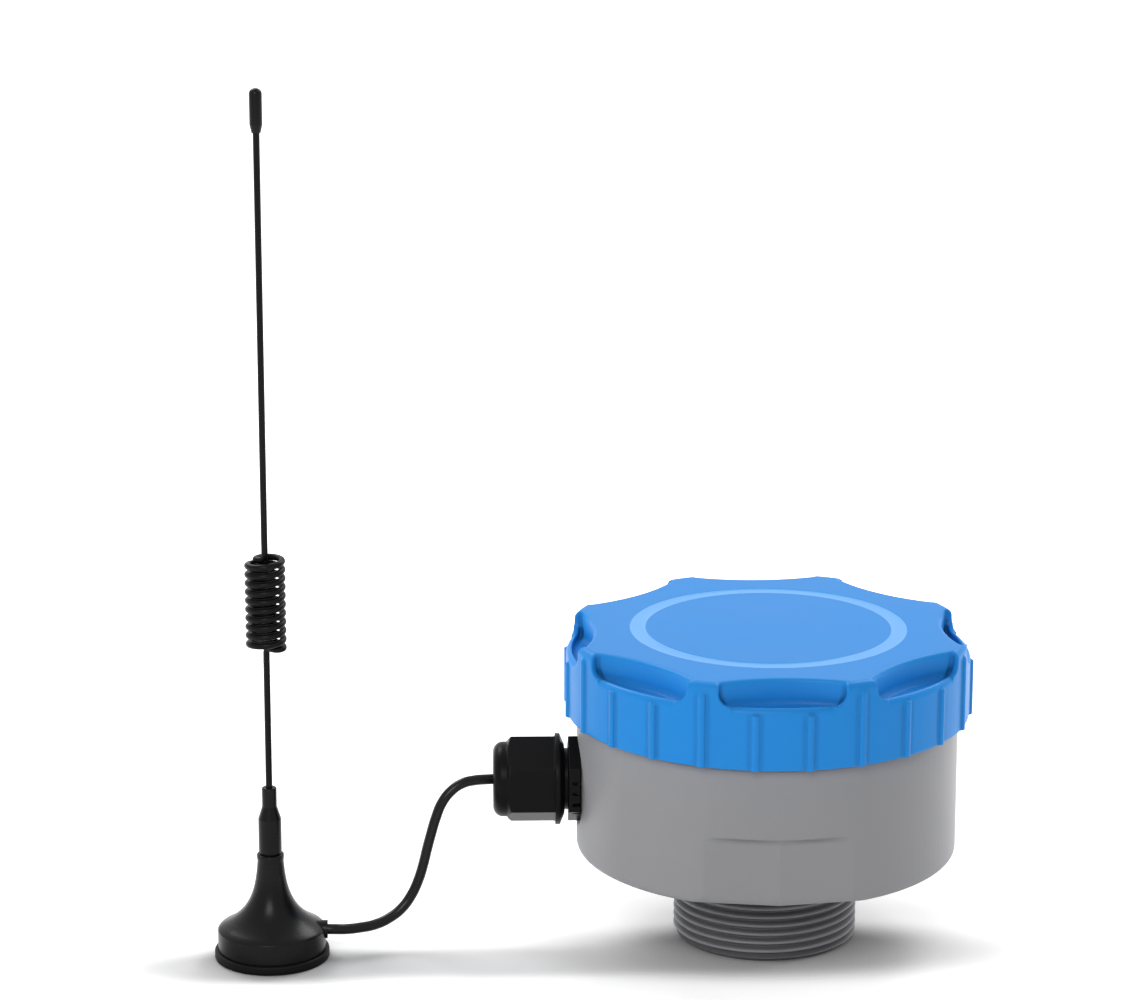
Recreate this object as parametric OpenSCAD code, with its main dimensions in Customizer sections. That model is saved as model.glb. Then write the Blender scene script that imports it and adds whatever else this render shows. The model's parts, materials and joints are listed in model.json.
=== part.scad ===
// Radar level transmitter: a battery-powered radar sensor with a screw-on cap and a magnetic antenna.
// The sensor's axis is Z. Its threaded spigot stands on z = 0, the cable gland points along -X,
// and the antenna stands beside it on its own magnetic base, joined by the antenna cable.

/* [Housing] */
// Outside diameter of the housing
body_d = 98.8; // [96:0.2:104]
// Height of the housing above its underside, up to the cap's skirt
body_h = 37.3; // [36:0.1:44]
// Wall of the housing
body_wall = 3.8; // [3.4:0.1:4.4]
// Thickness of the housing's floor
floor_t = 3.2; // [3:0.1:5]
// Radius of the round edge under the housing
base_round = 1.6; // [1:0.1:3]
// Height of the neck that carries the cap's thread
neck_h = 11.3; // [10.5:0.1:12.5]
// Pitch of the neck's thread
neck_pitch = 4; // [3:0.5:5]
// Depth of the neck's thread
neck_thread_t = 1.1; // [0.8:0.1:1.4]

/* [Process thread] */
// Outside diameter of the G 1 1/2 pipe thread
thread_d = 47.8; // [46:0.1:50]
// Pitch of the pipe thread, 11 to the inch
thread_pitch = 2.309; // [2:0.001:3]
// Depth of the pipe thread
thread_t = 1.48; // [1:0.01:1.6]
// Plain length between the thread and the housing's underside
thread_relief = 2.1; // [1.6:0.1:3]
// Length of the threaded spigot
spigot_h = 24; // [20:0.1:26]
// Chamfer on the spigot's end
spigot_chamfer = 1.2; // [0.5:0.1:1.4]

/* [Wrench flats] */
// Depth of the flats below the round wall
flat_t = 1.3; // [0.6:0.1:2]
// Height of the flats' straight part
flat_h = 15.6; // [12:0.2:18]
// Height of the flats' straight part above the housing's underside
flat_up = 2.6; // [2:0.1:4]
// Radius of the cove along the flats' upper edge
flat_cove = 0.9; // [0.4:0.1:1.2]
// Angle that each flat is turned to its side of the middle line
flat_turn = 9.25; // [8:0.25:10]

/* [Cap] */
// Wall of the cap's skirt
skirt_wall = 2.4; // [2:0.1:3]
// Height of the cap
cap_h = 21.8; // [21:0.1:25]
// Thickness of the cap's top
cap_top_t = 2.4; // [2:0.1:3]
// Radius of the cap's round top edge
cap_round = 2; // [0.5:0.1:2.4]
// Radius of the round lower edge of the cap's skirt
skirt_round = 0.4; // [0.3:0.1:1]
// Radius of the round edge between a finger scoop and the cap's top
scoop_round = 0.8; // [0.4:0.1:1]
// Gap between the cap and the housing
cap_gap = 0.4; // [0.3:0.05:0.5]
// Number of lobes, each with a finger scoop beside it
lobes = 8; // [6:1:10]
// Radius of a finger scoop, seen from above
scoop_r = 47; // [40:1:55]
// Depth of a finger scoop into the cap
scoop_t = 7.2; // [6:0.1:8]
// Width of a finger scoop
scoop_w = 31.6; // [20:0.2:32]
// Height of a finger scoop's opening, down to its lip
scoop_h = 5.6; // [4:0.1:6.5]
// Depth of the pocket behind the lip
pocket_t = 1.5; // [0.8:0.1:1.8]
// Thickness of the lip
lip_t = 1.6; // [1.2:0.1:2]
// Radius of a scoop's lower corners
scoop_corner = 3; // [1.5:0.25:3.5]
// Radius where a scoop's wall meets its floor
cove_r = 1.8; // [1:0.1:2.5]
// Radius of a grip rib
rib_r = 1.2; // [0.8:0.1:1.4]
// How far a grip rib stands out of the skirt
rib_out = 0.8; // [0.6:0.1:1.2]
// Outside diameter of the ring on the cap's top
ring_d = 71.4; // [60:0.2:76]
// Width of the ring on the cap's top
ring_w = 4; // [2:0.1:5]
// Depth of the ring on the cap's top
ring_t = 0.3; // [0.2:0.1:0.6]
// Thickness of the flat gasket in the cap
gasket_t = 1.6; // [1.2:0.1:2]

/* [Cable gland] */
// Height of the gland's axis
gland_z = 42.3; // [40:0.1:44]
// Depth of the flat face that the gland seats on
seat_t = 0.9; // [0.7:0.1:1.2]
// Width across flats of the gland's nut and flange
gland_af = 20.1; // [19.2:0.1:21]
// Thickness of the gland's hexagonal flange
flange_t = 3.2; // [2.6:0.1:4]
// Outside diameter of the gland's two threads
gland_thread_d = 16; // [15:0.1:16.4]
// Pitch of the gland nut's thread
gland_pitch = 1.5; // [1:0.1:2]
// Gap between the flange and the nut
nut_gap = 1; // [0.8:0.1:2.4]
// Height of the collar at the nut's open end, with its cone
collar_h = 2.4; // [1.8:0.1:3]
// Height of the cone at the nut's open end
collar_cone_h = 1.2; // [0.8:0.1:1.6]
// Length of the nut's hexagon
nut_hex_h = 12.5; // [11:0.5:14]
// Length of the nut's round dome
dome_h = 3.6; // [3:0.1:4.5]
// Radius of the dome's round edge
dome_round = 2.6; // [1.5:0.1:3]
// Diameter of the cable hole in the nut
nut_hole_d = 7.2; // [6.4:0.1:8]
// Thickness of the lock nut inside the housing
lock_nut_t = 4; // [3:0.1:4.5]

/* [Antenna cable] */
// Diameter of the antenna cable
cable_d = 2.7; // [2:0.1:3]

/* [Antenna] */
// Place of the antenna's axis along X
ant_x = -128.6; // [-140:0.2:-124]
// Place of the antenna's axis along Y
ant_y = -15.6; // [-24:0.2:-10]
// Diameter of the rubber foot
foot_d = 29.6; // [28.8:0.2:32]
// Height of the rubber foot's rim
foot_h = 2.3; // [2:0.1:3]
// Thickness of the rubber foot under the magnet
foot_floor_t = 1; // [0.6:0.1:1.2]
// Diameter of the antenna's shell above the foot
shell_d = 27.8; // [27.4:0.1:28.2]
// Height of the shell's straight wall above the floor
shell_wall_h = 7.7; // [7:0.1:8]
// Height of the top of the shell's bell
bell_top_h = 28; // [26:0.2:34]
// Radius at the top of the bell
bell_neck_r = 3; // [3:0.1:3.8]
// Height over which the bell narrows to about a third
bell_fall = 5.4; // [5:0.1:8]
// Diameter of the ring magnet
magnet_d = 21.6; // [18:0.2:21.8]
// Thickness of the ring magnet
magnet_t = 3.6; // [3:0.1:3.7]
// Thickness of the steel plate behind the magnet
yoke_t = 1; // [0.6:0.1:1]
// Diameter of the cable boss on the shell
boss_d = 4.7; // [4.2:0.1:5.2]
// Height of the cable boss's axis
boss_z = 7.1; // [7.1:0.1:8]
// How far the cable boss ends from the antenna's axis
boss_end = 14.4; // [14.1:0.1:16]
// Diameter of the ferrule at the foot of the whip
ferrule_d = 5.9; // [5:0.1:6]
// Length of the ferrule's wide part
ferrule_h = 9.5; // [5:0.1:11]
// Diameter of the ferrule's slim part
ferrule_tip_d = 3.8; // [3:0.1:4.4]
// Length of the ferrule's taper
ferrule_taper_h = 3.3; // [2:0.1:5]
// Length of the ferrule's slim part
ferrule_tip_h = 5.1; // [4:0.1:9]
// Diameter of the whip's wire
whip_d = 1.7; // [1:0.1:1.8]
// Height of the loading coil's lower end
coil_z = 83.2; // [70:0.2:100]
// Number of turns in the loading coil
coil_turns = 10; // [6:1:12]
// Pitch of the loading coil
coil_pitch = 2.28; // [2:0.01:3]
// Outside diameter of the loading coil
coil_d = 10.5; // [8:0.1:12]
// Radius of the bends between the coil and the straight wire
coil_bend_r = 1.4; // [1.2:0.1:1.8]
// Height of the top of the antenna
whip_top = 226; // [200:0.2:240]
// Diameter of the whip's tip cap
tip_d = 3.2; // [2.8:0.1:4]
// Length of the whip's tip cap
tip_h = 11; // [8:0.2:14]

/* [Radar] */
// Depth of the seat for the radar lens
lens_seat_h = 5; // [4:0.1:6]
// How far the lens lies inside the spigot's end
lens_recess = 0.8; // [0.4:0.1:1.2]
// Height of the lens's dome
lens_dome_h = 5; // [4:0.1:6]
// Diameter of the bore that the horn sits in
horn_bore_d = 36; // [33:0.5:37]
// Wall of the horn
horn_wall = 1.2; // [1:0.1:1.6]
// Thickness of the horn's flange
horn_flange_t = 2; // [1.6:0.1:2.5]
// Side of the square radar board
radar_board_w = 46; // [44:0.5:48]
// Distance of the horn's screws from the middle, along X and Y
horn_screw_at = 16; // [15.5:0.1:16.5]
// Diameter of the horn's screws
horn_screw_d = 2.4; // [2:0.1:2.5]
// Side of the square radar chip
chip_w = 10; // [7:0.5:12]
// Thickness of the radar chip
chip_t = 1; // [0.7:0.1:1.4]

/* [Electronics] */
// Thickness of both circuit boards
board_t = 1.6; // [1.2:0.1:2]
// Gap between the main board's edge and the housing's wall
board_gap = 1; // [0.6:0.1:1.4]
// Height of the main board above the housing's floor
main_board_up = 7.2; // [7:0.1:9]
// Distance of the main board's screws from the middle, along X
board_screw_x = 13; // [12.6:0.1:14]
// Distance of the main board's screws from its edge
board_screw_edge = 3.6; // [3.4:0.1:4]
// Diameter of the main board's screws
board_screw_d = 2.9; // [2.5:0.1:3]
// Place of the power button along X
button_x = 36; // [34:0.2:37]
// Diameter of the power button
button_d = 3.4; // [3:0.1:4]
// How far the power button travels
button_travel = 0.3; // [0.2:0.05:0.5]
// Length of the radio module
radio_l = 16; // [12:0.5:20]
// Width of the radio module
radio_w = 9; // [7:0.5:9.5]
// Thickness of the radio module
radio_t = 2.6; // [2:0.1:3]

/* [Batteries] */
// Diameter of a battery cell
cell_d = 26.2; // [24:0.1:26.4]
// Length of a battery cell with its raised end
cell_l = 50; // [46:0.5:50.5]
// Gap between the two cells
cell_gap = 1; // [0.6:0.1:1.6]
// Wall of the battery holder
holder_wall = 2; // [1.6:0.1:2.2]
// Length of a contact spring
spring_l = 4; // [3.5:0.1:4.5]
// Diameter of a contact spring's wide end
spring_d = 10.2; // [8:0.1:12]
// Diameter of a contact spring's wire
spring_wire_d = 1; // [0.8:0.1:1]
// Side of a square contact plate
plate_w = 10; // [8:0.5:12]
// Thickness of a contact plate
plate_t = 0.6; // [0.4:0.1:0.8]

/* [Hidden] */
$fn = 96;
eps = 0.01;

// Small gaps shared by the fits
slip_gap = 0.1;
fit_gap = 0.05;
loose_gap = 0.3;

// Housing and neck
body_r = body_d / 2;
body_top = spigot_h + body_h;
floor_z = spigot_h + floor_t;
cavity_r = body_r - body_wall;
neck_top = body_top + neck_h;
neck_root_r = body_r - neck_thread_t;
neck_first = body_top + 2 * neck_thread_t;
neck_ridge_w = neck_pitch / 4;
neck_ridges = floor((neck_top - neck_first - neck_ridge_w - neck_thread_t) / neck_pitch);

// Process thread: a 55 degree form with equal flats on the crest and the root
thread_r = thread_d / 2;
thread_root_r = thread_r - thread_t;
thread_flank = thread_t * tan(27.5);
thread_land = (thread_pitch - 2 * thread_flank) / 2;
thread_first = 1.1;
thread_end = spigot_h - thread_relief - thread_land - thread_flank;
thread_ridges = floor((thread_end - thread_first) / thread_pitch);
lens_seat_r = thread_root_r - 1.8;
seal_w = 1.3;
seal_groove_h = 1.6;
seal_z = lens_recess + 2.1;
horn_bore_r = horn_bore_d / 2;
horn_gap = 0.4;

// Cap
skirt_r = body_r + cap_gap + skirt_wall;
cap_bore_r = body_r + cap_gap;
cap_top = body_top + cap_h;
lip_z = cap_top - scoop_h;
pocket_z = lip_z - pocket_t;
pocket_under = 1.7;
cap_step_z = pocket_z - pocket_under;
crown_bore_r = skirt_r - scoop_t - cap_top_t;
scoop_axis = skirt_r - scoop_t + scoop_r;
scoop_reach = 2 * scoop_t + 2;
lobe_angle = 360 / lobes;
rib_angle = lobe_angle / 3;
rib_axis_r = skirt_r + rib_out - rib_r;
long_rib_top = cap_top - 1.9;
short_rib_top = lip_z - 0.7;
gasket_bottom = cap_step_z - gasket_t;
rim_z = min(neck_top, gasket_bottom - fit_gap);

// Gland, measured along its axis outwards from the sensor's axis
seat_x = body_r - seat_t;
flange_end = seat_x + flange_t;
nut_start = flange_end + nut_gap;
collar_end = nut_start + collar_h;
hex_end = collar_end + nut_hex_h;
nut_end = hex_end + dome_h;
gland_r = gland_thread_d / 2;
gland_corner_r = gland_af / 2 / cos(30);
dome_r = gland_af / 2 - 0.3;
nut_bore_r = gland_r + 0.15;
nut_bore_end = hex_end - 4;
claw_start = nut_bore_end - 3.2;
bush_r = gland_r - 1.9;
bush_start = claw_start - 3;
bush_end = claw_start + 5;
claw_end = hex_end - 1;
nut_cone_r = bush_r + 1.4;
face_seal_w = 1.4;
face_seal_t = 1.15;
pad_x = cavity_r - 2.1;
gland_inner_end = pad_x - lock_nut_t - 1;
cable_r = cable_d / 2;
cable_hole_r = cable_r + slip_gap;

// Antenna
foot_r = foot_d / 2;
shell_r = shell_d / 2;
magnet_r = magnet_d / 2;
magnet_top = foot_floor_t + magnet_t;
yoke_top = magnet_top + yoke_t;
boss_r = boss_d / 2;
cable_stop = magnet_r + 0.6;
bell_round = 0.6;
bell_z = shell_wall_h + bell_round;
bell_r = shell_r - bell_round;
collar_top_h = 1;
ferrule_r = ferrule_d / 2;
ferrule_tip_r = ferrule_tip_d / 2;
ferrule_stem_r = 2;
ferrule_stem_h = 8;
ferrule_mid = bell_top_h + ferrule_h;
ferrule_taper_top = ferrule_mid + ferrule_taper_h;
ferrule_top = ferrule_taper_top + ferrule_tip_h;
whip_r = whip_d / 2;
whip_start = ferrule_mid;
coil_r = coil_d / 2 - whip_r;
coil_top = coil_z + coil_turns * coil_pitch;
tip_r = tip_d / 2;
tip_start = whip_top - tip_h;
tip_taper_h = 2;
whip_end = whip_top - 3;

// Boards and batteries
radar_board_z = floor_z + horn_flange_t;
radar_board_top = radar_board_z + board_t;
main_board_z = floor_z + main_board_up;
main_board_top = main_board_z + board_t;
main_board_r = cavity_r - board_gap;
main_board_cut = pad_x - lock_nut_t - 2.5;
board_screw_r = board_screw_d / 2;
board_screw_l = board_t + 5;
board_screw_y = sqrt(pow(main_board_r - board_screw_edge, 2) - board_screw_x * board_screw_x);
horn_screw_r = horn_screw_d / 2;
horn_screw_l = board_t + horn_flange_t + 2;
holder_x = cell_d + cell_gap / 2 + holder_wall;
cell_x = (cell_d + cell_gap) / 2;
cell_r = cell_d / 2;
cell_z = main_board_top + holder_wall + slip_gap + cell_r;
bay_l = cell_l + spring_l + 0.6;
holder_y = bay_l / 2 + holder_wall;
cell_nub_h = 1.5;
button_r = button_d / 2;
button_base_h = 3.5;
button_floor_t = 1;
socket_x = 32.5;
socket_y = 17;
socket_r = 2.5;
socket_h = 2.5;
plug_r = 2.8;
plug_h = 6;
plug_z = main_board_top + socket_h;

// The free stretch of the cable, from inside the gland to the antenna's boss
cable_route = [
    [-62, 0, 42.3], [-66, 0, 42.3], [-70, 0, 42.3], [-73, -0.3, 42.3], [-76, -1, 42.3],
    [-79, -2, 41.9], [-82, -3, 40.2], [-84.5, -3.9, 37.2], [-86.2, -4.5, 33.1], [-87.4, -5, 29.1],
    [-88.5, -5.4, 25], [-89.5, -5.9, 21], [-90.8, -6.4, 16.9], [-92.6, -7.1, 13.1], [-95, -8.2, 10],
    [-98.3, -9.7, 7.8], [-102, -11.3, 6.6], [-106, -13, 6.4], [-109.5, -14.5, 6.6], [-112.5, -15.5, 7],
    [-114.5, -15.6, 7.1], [-116, -15.6, 7.1], [-117.2, -15.6, 7.1]
];
// The cable inside the gland and the housing, up to its plug
tail_route = [
    [-62, 0, 42.3], [-58, 0, 42.3], [-54, 0, 42.3], [-50, 0, 42.3], [-46, 0, 42.3], [-42, 0, 42.3],
    [-38, 0, 42.3], [-35.2, 2, 43.8], [-33.6, 5, 47.3], [-32.8, 9, 50.5], [-32.5, 13.4, 51.2],
    [-32.5, 16.4, 49.2], [-32.5, 17, 46.9], [-32.5, 17, 45], [-32.5, 17, 43.8]
];
route_steps = 3;

// ---------------------------------------------------------------- helpers

// Turns a profile drawn as (radius, distance along the gland) about the gland's axis, towards -X
module gland_turn() {
    translate([0, 0, gland_z])
        rotate([0, -90, 0])
            rotate_extrude()
                children();
}

// A hexagonal prism on the gland's axis with a corner up, from one distance to another
module gland_hex(from, to, af) {
    translate([-from, 0, gland_z])
        rotate([0, -90, 0])
            cylinder(h = to - from, r = af / 2 / cos(30), $fn = 6);
}

// A round bar on the gland's axis, from one distance to another
module gland_bar(from, to, r) {
    translate([-from, 0, gland_z])
        rotate([0, -90, 0])
            cylinder(h = to - from, r = r);
}

// A rectangle for a revolve, given by its inner and outer radius and its two heights
module band(r1, r2, z1, z2) {
    translate([r1, z1])
        square([r2 - r1, z2 - z1]);
}

// A pan-head screw of radius r, with its head's underside at z = 0 and its shank below
module screw(r, shank_l) {
    head_r = 1.9 * r;
    head_h = 1.3 * r;
    edge_r = head_r / 6;
    rotate_extrude()
        union() {
            band(0, head_r - edge_r, 0, head_h);
            band(0, head_r, 0, head_h - edge_r);
            translate([head_r - edge_r, head_h - edge_r])
                circle(edge_r, $fn = 32);
            band(0, r, -shank_l, 0);
        }
}

// A board outline with round corners
module round_square(w, r) {
    union() {
        square([w, w - 2 * r], center = true);
        square([w - 2 * r, w], center = true);
        for (x = [-1, 1], y = [-1, 1])
            translate([x * (w / 2 - r), y * (w / 2 - r)])
                circle(r, $fn = 32);
    }
}

// One point of a smooth curve through p1 and p2, with its neighbours p0 and p3, at t from 0 to 1
function smooth_point(p0, p1, p2, p3, t) =
    0.5 * (2 * p1 + (p2 - p0) * t + (2 * p0 - 5 * p1 + 4 * p2 - p3) * t * t
        + (3 * p1 - p0 - 3 * p2 + p3) * t * t * t);

// A route filled in with the given number of steps between its points
function smooth_route(p, steps) = [
    for (i = [0 : len(p) - 2], k = [0 : steps - 1])
        smooth_point(p[max(i - 1, 0)], p[i], p[i + 1], p[min(i + 2, len(p) - 1)], k / steps),
    p[len(p) - 1]
];

function unit(v) = v / norm(v);

// Direction of a path at point i
function heading(p, i) = unit(p[min(i + 1, len(p) - 1)] - p[max(i - 1, 0)]);

// Part of v that is square to the direction t, as a unit vector
function square_to(v, t) = unit(v - (v * t) * t);

// A sideways direction for each point of a path, carried along it without twist
function sideways(p, first) = [
    for (i = 0, s = square_to(first, heading(p, 0)); i < len(p);
        i = i + 1, s = i < len(p) ? square_to(s, heading(p, i)) : s)
        s
];

// A tube of the given radius along a path
module tube_along(p, r, sides, first) {
    side = sideways(p, first);
    rings = [
        for (i = [0 : len(p) - 1], k = [0 : sides - 1])
            p[i] + r * cos(k * 360 / sides) * side[i]
                + r * sin(k * 360 / sides) * cross(heading(p, i), side[i])
    ];
    walls = [
        for (i = [0 : len(p) - 2], k = [0 : sides - 1])
            [i * sides + k, (i + 1) * sides + k,
                (i + 1) * sides + (k + 1) % sides, i * sides + (k + 1) % sides]
    ];
    start = [for (k = [0 : sides - 1]) k];
    end = [for (k = [0 : sides - 1]) (len(p) - 1) * sides + sides - 1 - k];
    polyhedron(points = rings, faces = concat(walls, [start, end]), convexity = 10);
}

// ---------------------------------------------------------------- housing

// One ridge of a ring thread in a revolve, rising from the root to the crest
module thread_ridge(root_r, crest_r, z, crest_w, flank_w) {
    polygon([
        [root_r - 0.5, z - flank_w], [root_r, z - flank_w], [crest_r, z],
        [crest_r, z + crest_w], [root_r, z + crest_w + flank_w], [root_r - 0.5, z + crest_w + flank_w]
    ]);
}

// The housing's outside: spigot, body with a round lower edge, and threaded neck
module housing_outside() {
    rotate_extrude($fn = 180) {
        band(0, body_r, spigot_h + base_round, body_top);
        band(0, body_r - base_round, spigot_h, body_top);
        translate([body_r - base_round, spigot_h + base_round])
            circle(base_round);
        band(0, neck_root_r, body_top - 1, rim_z);
        for (i = [0 : neck_ridges])
            thread_ridge(neck_root_r, body_r, neck_first + i * neck_pitch, neck_ridge_w, neck_thread_t);
        polygon([
            [0, 0], [thread_root_r - spigot_chamfer / 3, 0], [thread_root_r, spigot_chamfer],
            [thread_root_r, spigot_h + 1], [0, spigot_h + 1]
        ]);
        for (i = [0 : thread_ridges])
            thread_ridge(thread_root_r, thread_r, thread_first + i * thread_pitch, thread_land, thread_flank);
    }
}

// The housing's inside: lens seat, horn bore and the space for the electronics
module housing_inside() {
    inner_round = 2;
    rotate_extrude($fn = 180) {
        band(0, lens_seat_r, -1, lens_seat_h);
        band(0, horn_bore_r, -1, floor_z + 1);
        band(0, cavity_r - inner_round, floor_z, neck_top + 1);
        band(0, cavity_r, floor_z + inner_round, neck_top + 1);
        translate([cavity_r - inner_round, floor_z + inner_round])
            circle(inner_round);
    }
}

// Cutter for one flat, with the round lower edge that follows it
module flat_cutter() {
    face = body_r - flat_t;
    edge_r = flat_up;
    turn_z = spigot_h + flat_up;
    flat_top = turn_z + flat_h;
    rotate([90, 0, 0])
        translate([0, 0, -body_r / 2])
            linear_extrude(height = body_r)
                difference() {
                    union() {
                        band(face - edge_r, body_r + 5, spigot_h - 1, flat_top - flat_cove);
                        band(face + flat_cove, body_r + 5, spigot_h - 1, flat_top);
                        translate([face + flat_cove, flat_top - flat_cove])
                            circle(flat_cove, $fn = 48);
                    }
                    band(face - edge_r - 1, face, turn_z, flat_top + 1);
                    translate([face - edge_r, turn_z])
                        circle(edge_r);
                    band(face - 2 * edge_r, face - edge_r, spigot_h - 2, turn_z);
                }
}

// The four posts that carry the main board
module board_posts() {
    post_wall = 2.1;
    board_screw_spots()
        translate([0, 0, floor_z - 1])
            cylinder(h = main_board_z - floor_z + 1, r = board_screw_r + post_wall);
}

// The holes for the posts' screws and the horn's screws, each a little deeper than its screw
module housing_screw_holes() {
    hole_spare = 0.4;
    board_screw_spots()
        translate([0, 0, main_board_top - board_screw_l - hole_spare])
            cylinder(h = board_screw_l, r = board_screw_r + fit_gap);
    horn_screw_spots()
        translate([0, 0, radar_board_top - horn_screw_l - hole_spare])
            cylinder(h = horn_screw_l, r = horn_screw_r + fit_gap);
}

module housing() {
    color("#97979c")
        difference() {
            union() {
                difference() {
                    housing_outside();
                    housing_inside();
                }
                board_posts();
                gland_pad();
            }
            housing_screw_holes();
            for (side = [-90, 90], turn = [-flat_turn, flat_turn])
                rotate(side + turn)
                    flat_cutter();
            gland_bar(seat_x, body_r + 5, gland_corner_r + loose_gap);
            gland_bar(pad_x - 1, body_r + 1, gland_r + 0.15);
        }
}

// Flat inner pad that the gland's lock nut pulls against
module gland_pad() {
    intersection() {
        gland_bar(pad_x, body_r, gland_corner_r + 0.6);
        translate([0, 0, floor_z])
            cylinder(h = body_h - floor_t, r = cavity_r + 1);
    }
}

// ---------------------------------------------------------------- cap

// The cap before its scoops are cut: skirt, crown and the ring in its top
module cap_blank() {
    rotate_extrude($fn = 180)
        difference() {
            union() {
                band(0, skirt_r, body_top + skirt_round, cap_top - cap_round);
                band(0, skirt_r - cap_round, body_top + skirt_round, cap_top);
                translate([skirt_r - cap_round, cap_top - cap_round])
                    circle(cap_round, $fn = 48);
                band(0, skirt_r - skirt_round, body_top, cap_top - cap_round);
                translate([skirt_r - skirt_round, body_top + skirt_round])
                    circle(skirt_round, $fn = 48);
            }
            band(-1, cap_bore_r, body_top - 1, cap_step_z);
            band(-1, crown_bore_r, body_top - 1, cap_top - cap_top_t);
            band(ring_d / 2 - ring_w, ring_d / 2, cap_top - ring_t, cap_top + 1);
        }
}

// Flare at the top of a cut, which leaves a round edge of radius scoop_round beside x = from
module top_flare(from) {
    difference() {
        band(from - scoop_round, from + scoop_round, cap_top - scoop_round, cap_top + 1);
        translate([from + scoop_round, cap_top - scoop_round])
            circle(scoop_round, $fn = 48);
    }
}

// Outline of a scoop's opening seen from outside, with round lower corners and flared at the top
module scoop_window(bottom) {
    band(-scoop_w / 2, scoop_w / 2, bottom + scoop_corner, cap_top + 1);
    band(-scoop_w / 2 + scoop_corner, scoop_w / 2 - scoop_corner, bottom, cap_top + 1);
    for (side = [0, 1])
        mirror([side, 0]) {
            translate([scoop_w / 2 - scoop_corner, bottom + scoop_corner])
                circle(scoop_corner, $fn = 48);
            top_flare(scoop_w / 2);
        }
}

// Cutter for one finger scoop on the +Y side: a curved wall with a cove above the pocket's floor
module scoop_cutter() {
    intersection() {
        translate([0, scoop_axis, 0])
            rotate_extrude($fn = 180) {
                band(0, scoop_r, pocket_z + cove_r, cap_top + 1);
                band(0, scoop_r - cove_r, pocket_z, cap_top + 1);
                translate([scoop_r - cove_r, pocket_z + cove_r])
                    circle(cove_r, $fn = 48);
                top_flare(scoop_r);
            }
        union() {
            translate([0, skirt_r + 2, 0])
                rotate([90, 0, 0])
                    linear_extrude(height = scoop_reach)
                        scoop_window(lip_z);
            intersection() {
                translate([0, skirt_r + 2, 0])
                    rotate([90, 0, 0])
                        linear_extrude(height = scoop_reach)
                            scoop_window(pocket_z);
                cylinder(h = cap_top, r = skirt_r - lip_t);
            }
        }
    }
}

// A grip rib: a half-round bar with a round top
module grip_rib(top) {
    translate([0, rib_axis_r, body_top])
        cylinder(h = top - rib_r - body_top, r = rib_r, $fn = 32);
    translate([0, rib_axis_r, top - rib_r])
        sphere(rib_r, $fn = 32);
}

module cap() {
    color("#3a8fe0")
        difference() {
            union() {
                cap_blank();
                for (i = [0 : lobes - 1])
                    rotate((i + 0.5) * lobe_angle) {
                        grip_rib(long_rib_top);
                        for (side = [-1, 1])
                            rotate(side * rib_angle)
                                grip_rib(short_rib_top);
                    }
            }
            for (i = [0 : lobes - 1])
                rotate(i * lobe_angle)
                    scoop_cutter();
        }
}

module cap_gasket() {
    color("#2b2b2d")
        rotate_extrude()
            band(cavity_r + loose_gap, cap_bore_r - fit_gap, gasket_bottom, cap_step_z);
}

// ---------------------------------------------------------------- radar unit

// Lens with a seal groove round its rim and a dome that faces the horn
module radar_lens() {
    lens_r = lens_seat_r - slip_gap;
    dome_r = horn_bore_r - horn_gap;
    sphere_r = (dome_r * dome_r + lens_dome_h * lens_dome_h) / (2 * lens_dome_h);
    color("#b9b9bd") {
        difference() {
            translate([0, 0, lens_recess])
                cylinder(h = lens_seat_h - lens_recess, r = lens_r);
            rotate_extrude()
                band(lens_seat_r - seal_w, lens_r + 1, seal_z - seal_groove_h / 2, seal_z + seal_groove_h / 2);
        }
        intersection() {
            translate([0, 0, lens_seat_h + lens_dome_h - sphere_r])
                sphere(sphere_r, $fn = 180);
            translate([0, 0, lens_seat_h - 1])
                cylinder(h = lens_dome_h + 2, r = dome_r);
        }
    }
}

module lens_seal() {
    seal_r = seal_w / 2 - fit_gap;
    color("#1f1f20")
        rotate_extrude()
            translate([lens_seat_r - seal_w / 2, seal_z])
                circle(seal_r, $fn = 32);
}

// Conical horn hanging from a flange on the housing's floor
module radar_horn() {
    mouth_z = lens_seat_h + lens_dome_h + 1.5;
    mouth_r = horn_bore_r - horn_gap;
    throat_r = 2.2;
    rim_h = 2.5;
    flange_r = horn_screw_at * sqrt(2) + 3.4;
    color("#c8c9cc")
        difference() {
            rotate_extrude()
                polygon([
                    [mouth_r - horn_wall, mouth_z], [mouth_r, mouth_z], [mouth_r, mouth_z + rim_h],
                    [throat_r + 2.4 * horn_wall, floor_z], [flange_r, floor_z],
                    [flange_r, radar_board_z], [throat_r, radar_board_z], [throat_r, floor_z - 0.5],
                    [mouth_r - horn_wall, mouth_z + rim_h]
                ]);
            horn_screw_spots()
                translate([0, 0, floor_z - 1])
                    cylinder(h = horn_flange_t + 2, r = horn_screw_r + slip_gap);
        }
}

// Places of the four screws through the radar board and the horn's flange
module horn_screw_spots() {
    for (x = [-1, 1], y = [-1, 1])
        translate([x * horn_screw_at, y * horn_screw_at, 0])
            children();
}

module radar_board() {
    color("#1d6b3a")
        difference() {
            translate([0, 0, radar_board_z])
                linear_extrude(height = board_t)
                    round_square(radar_board_w, 3);
            horn_screw_spots()
                translate([0, 0, radar_board_z - 1])
                    cylinder(h = board_t + 2, r = horn_screw_r + slip_gap);
        }
}

module radar_chip() {
    color("#26262a")
        translate([-chip_w / 2, -chip_w / 2, radar_board_top])
            cube([chip_w, chip_w, chip_t]);
}

module horn_screws() {
    color("#c0c2c6")
        horn_screw_spots()
            translate([0, 0, radar_board_top])
                screw(horn_screw_r, horn_screw_l);
}

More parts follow.
